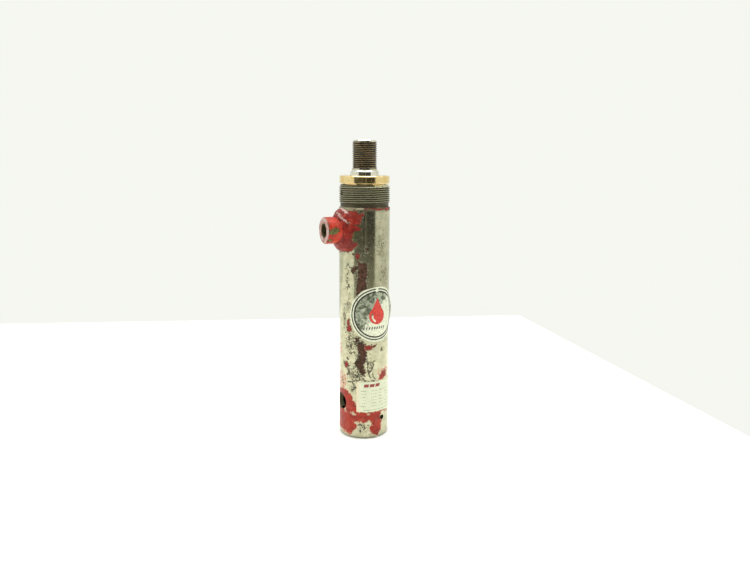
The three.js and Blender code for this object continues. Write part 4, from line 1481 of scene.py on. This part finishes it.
def reflected_card(name, half_deg, middle_deg, radius, low, high, tone, inner=None):
    """A curved card on the camera's side, or a low sloping one if `inner` is given."""
    steps = 24
    points = []
    for i in range(steps + 1):
        alpha = math.radians(middle_deg + half_deg * (2 * i / steps - 1))
        away = CAMERA_SIDE * math.cos(alpha) + CAMERA_RIGHT * math.sin(alpha)
        points.append(away * (inner or radius) + Vector((0, 0, low)))
        points.append(away * radius + Vector((0, 0, high)))
    faces = [(2 * i, 2 * i + 2, 2 * i + 3, 2 * i + 1) for i in range(steps)]
    shade = (tone, tone * 0.96, tone * 0.72, 1)
    material = plain_material(name, (0.02, 0.02, 0.02, 1), 1.0, 1.0, shade)
    return unseen(stage_mesh(name, points, faces, material))


def make_reflected_room():
    """What the metal mirrors: the dark room behind the camera, and the table's edge."""
    reflected_card("left_room", 20.5, -27.5, 1.0, 0.045, 1.3, 0.05)
    reflected_card("right_room", 28.5, 21.5, 1.0, 0.045, 1.3, 0.012)
    reflected_card("table_edge", 47, 1, 1.02, 0.002, 0.05, 0.2, inner=0.56)
    reflected_card("left_strip", 1.4, -9, 0.98, 0.045, 1.2, 0.13)
    reflected_card("right_strip", 1.8, 7, 0.98, 0.045, 1.2, 0.26)


def make_lights():
    world = bpy.data.worlds.new("studio")
    bpy.context.scene.world = world
    world.use_nodes = True
    background = world.node_tree.nodes["Background"]
    background.inputs["Color"].default_value = srgb(245, 247, 240)
    background.inputs["Strength"].default_value = 1.0
    for name, right, behind, height, size, power in (
        ("ceiling", 0.0, 0.1, 1.5, 1.2, 20.0),
        ("left_soft", -1.3, -0.2, 0.9, 0.9, 3.0),
        ("right_soft", 1.2, 0.2, 1.0, 0.9, 3.0),
    ):
        light = bpy.data.lights.new(name, "AREA")
        light.shape = "SQUARE"
        light.size = size
        light.energy = power
        lamp = linked(name, light)
        lamp.location = stage_point(right, behind, height)
        aim = Vector((0, 0, 0.15)) - lamp.location
        lamp.rotation_mode = "QUATERNION"
        lamp.rotation_quaternion = aim.to_track_quat("-Z", "Y")
        lamp.visible_camera = False
    bpy.context.scene.view_settings.view_transform = "Standard"


def make_camera():
    camera = linked("camera", bpy.data.cameras.new("camera"))
    camera.data.sensor_width = 36.0
    camera.data.lens = FOCAL_MM
    camera.data.clip_start = 0.01
    camera.location = CAMERA_SIDE * CAMERA_DISTANCE_M + Vector((0, 0, CAMERA_HEIGHT_M))
    yaw, pitch = math.radians(CAMERA_YAW_DEG), math.radians(CAMERA_PITCH_DEG)
    level = -CAMERA_SIDE * math.cos(yaw) + CAMERA_RIGHT * math.sin(yaw)
    look = level * math.cos(pitch) - Vector((0, 0, math.sin(pitch)))
    roll = Quaternion((0, 0, 1), math.radians(CAMERA_ROLL_DEG))
    camera.rotation_mode = "QUATERNION"
    camera.rotation_quaternion = look.to_track_quat("-Z", "Y") @ roll
    bpy.context.scene.camera = camera


# ---------------------------------------------------------------- the whole scene

machined = turned_metal("machined_steel", (150, 150, 140), (112, 112, 98),
                        (66, 62, 46), 0.3)
oily_steel = turned_metal("oily_steel", (96, 90, 76), (66, 62, 50),
                          (46, 34, 22), 0.36)
brass = turned_metal("gland_brass", (238, 214, 156), (228, 198, 130),
                     (150, 112, 54), 0.09, 0.3, 0.35)
black_steel = turned_metal("black_steel", (92, 92, 70), (70, 70, 50),
                           (40, 38, 26), 0.34)
rubber = moulded("black_rubber", (34, 34, 35), (24, 24, 25), 0.58)

cylinder_tube()
port_boss()
boss_weld()
base_plug(black_steel)
lock_screw("base_screw", "base_lock_screw", BASE_SCREW, oily_steel)
lock_screw("gland_screw", "gland_lock_screw", GLAND_SCREW, oily_steel)
gland_nut(brass)
rod_wiper(rubber)
piston_rod()
round_decal()
rating_label()
finish_inner_nodes(machined, oily_steel, rubber)

make_floor()
make_reflected_room()
make_lights()
make_camera()
